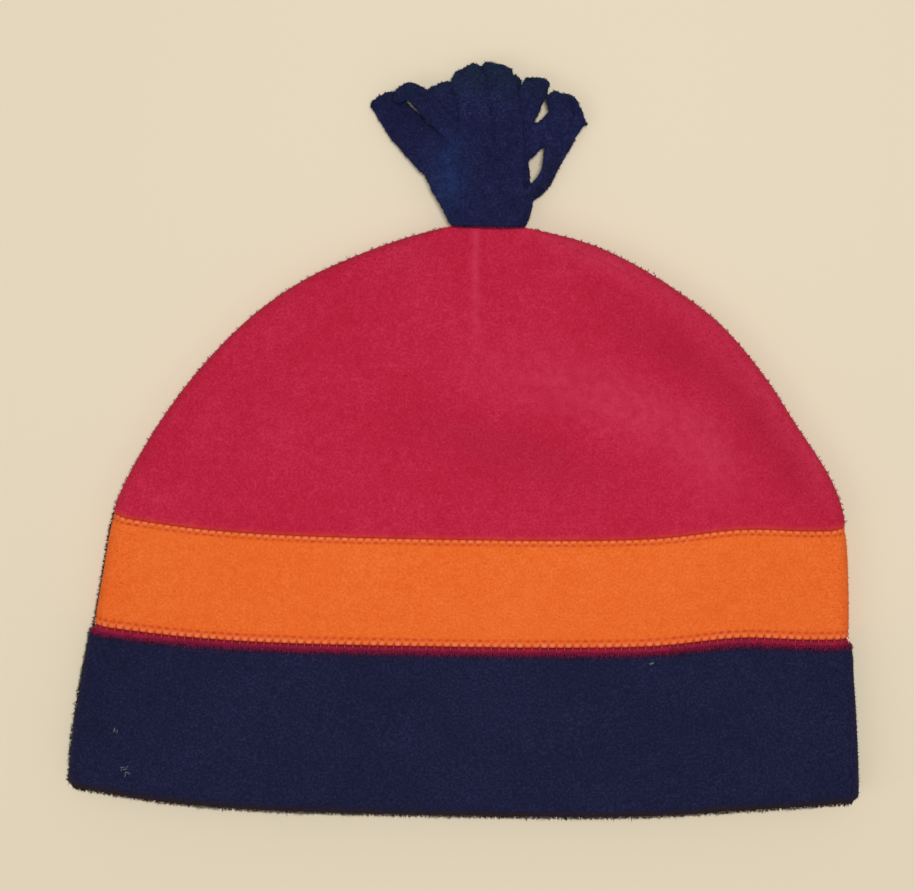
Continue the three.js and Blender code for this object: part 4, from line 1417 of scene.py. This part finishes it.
corner = across_line(0.8, 1.0, np.full(12, LEFT_FOLD), out_share=0.75, climb_share=-0.65)
CORNER_TUFT = Tuft(spikes=5, spread=0.4, lean=0.6, length=1.1, width=0.2)
corner_tuft = add_fuzz("corner_tuft", corner, CORNER_TUFT, SHADED_EDGE_PILE, seed=12)

# %% Fuzz in the groove above the cuff
groove_columns = even_columns(CUFF_TOP, -0.45, 1.4, 560)[0]
groove_line = across_line(CUFF_TOP + 0.7, 0.5, groove_columns, out_share=0.35, climb_share=-1)
GROOVE_TUFT = Tuft(spikes=6, spread=0.35, lean=0.45, length=1.7, width=0.17)
groove_fuzz = add_fuzz("groove_fuzz", groove_line, GROOVE_TUFT, GROOVE_PILE, seed=7)

edge_line = across_line(CUFF_TOP - 0.9, 0.0, groove_columns, out_share=0.35, climb_share=1)
EDGE_TUFT = Tuft(spikes=3, spread=0.35, lean=0.4, length=1.1, width=0.14)
cuff_edge_fuzz = add_fuzz("cuff_edge_fuzz", edge_line, EDGE_TUFT, NAVY, seed=8)

# %% [markdown]
# A few grey fibres of lint cling to the cuff at three places. Specks in the material would look
# printed on. Each is the same bent thread as a stitch, thin and turned at random.

# %% Lint
Lint = namedtuple("Lint", "x y fibres spread")
LINT_SPOTS = (
    Lint(x=-109.5, y=-90.8, fibres=3, spread=0.3),
    Lint(x=-106.1, y=-104.2, fibres=9, spread=0.8),
    Lint(x=56.9, y=-64.7, fibres=3, spread=0.2),
)
LINT_LINE = ((-0.7, 0.1), (0.2, 0.7), (0.6, 0.2))
LINT_RADIUS = 0.08
SEARCH_UPS, SEARCH_AROUNDS = 500, 900


def on_front(x, y):
    """Where places seen from above lie on the front: up the hat and around it."""
    ups, arounds = np.meshgrid(np.linspace(0, BAND_TOP, SEARCH_UPS), np.linspace(0, 1, SEARCH_AROUNDS))
    grid = skin(ups, arounds)
    nearest = [np.argmin((grid[..., 0] - px) ** 2 + (grid[..., 1] - py) ** 2) for px, py in zip(x, y)]
    return ups.ravel()[nearest], arounds.ravel()[nearest]


def add_lint():
    """Fibres spread round each spot, all in one piece."""
    chance = np.random.default_rng(9)
    spots = np.array([(spot.x, spot.y, spot.spread) for spot in LINT_SPOTS for _ in range(spot.fibres)])
    x, y = (spots[:, :2] + chance.normal(0, 1, (len(spots), 2)) * spots[:, 2:]).T
    ups, arounds = on_front(x, y)
    places = in_cloth(ups, arounds, np.zeros_like(ups))
    across = unit(chance.normal(0, 1, places.shape))
    points = points_mesh("lint", places, outward(ups, arounds), across, chance.uniform(0.5, 1.3, len(ups)))
    return add_threads("lint", points, LINT_LINE, LINT_RADIUS, LINT)


add_lint()

# %% [markdown]
# The cloths are cut flat before they are sewn: two crown panels with round tops, the band as one straight
# strip round the hat, and the cuff as a wider strip that is folded double at the hem. The band's flat length
# and height are worked out, and each cloth's area is printed.

# %% The cloths' flat sizes
BAND_LONG, BAND_TALL = BAND_ROUND * MM, (BAND_TOP - BAND_BOTTOM) * MM


def surface_of_one_side(piece):
    """Half of a thin closed cloth's surface, in square metres."""
    return sum(face.area for face in piece.data.polygons) / 2


for piece in (crown_front, crown_back, band, cuff):
    print(piece.name, round(surface_of_one_side(piece), 4), "square metres")

# %% [markdown]
# The floor is a plain pale board and the light is soft: one broad lamp above the right shoulder of
# the hat, a weaker one from the other side and an even surround. A single sun would leave the navy
# cloth black on one side, and an even surround alone would hide the folds.

# %% Floor and lights
FLOOR_HALF = 1.6
FLOOR_DROP = 0.0001
SURROUND = 0.35


def add_floor():
    """A pale board just under the hat."""
    mesh = bpy.data.meshes.new("floor")
    corners = [(-1, -1), (1, -1), (1, 1), (-1, 1)]
    mesh.from_pydata([(x * FLOOR_HALF, y * FLOOR_HALF, -FLOOR_DROP) for x, y in corners], [], [(0, 1, 2, 3)])
    floor = bpy.data.objects.new("floor", mesh)
    bpy.context.scene.collection.objects.link(floor)
    material = bpy.data.materials.new("pale floor")
    material.use_nodes = True
    graph = Graph(material.node_tree)
    surface = graph.node("ShaderNodeBsdfPrincipled", {}, {
        "Base Color": linear(226, 214, 190), "Roughness": 0.6, "Specular IOR Level": 0.3})
    graph.node("ShaderNodeOutputMaterial", {}, {"Surface": surface.outputs[0]})
    mesh.materials.append(material)


def add_lamp(name, place, size, power, colour):
    """A round lamp at the place, aimed at the middle of the hat."""
    data = bpy.data.lights.new(name, "AREA")
    data.shape = "DISK"
    data.size = size
    data.energy = power
    data.color = colour
    lamp = bpy.data.objects.new(name, data)
    lamp.location = place
    lamp.rotation_euler = (-Vector(place)).to_track_quat("-Z", "Y").to_euler()
    bpy.context.scene.collection.objects.link(lamp)


add_floor()
add_lamp("key", (0.10, 0.16, 1.25), size=0.36, power=10.0, colour=(1.0, 0.97, 0.93))
add_lamp("fill", (-0.9, -0.5, 0.9), size=0.9, power=2.0, colour=(0.94, 0.97, 1.0))
world = bpy.data.worlds.new("surround")
world.use_nodes = True
world.node_tree.nodes["Background"].inputs["Color"].default_value = (1.0, 0.99, 0.97, 1)
world.node_tree.nodes["Background"].inputs["Strength"].default_value = SURROUND
bpy.context.scene.world = world
bpy.context.scene.view_settings.view_transform = "Standard"
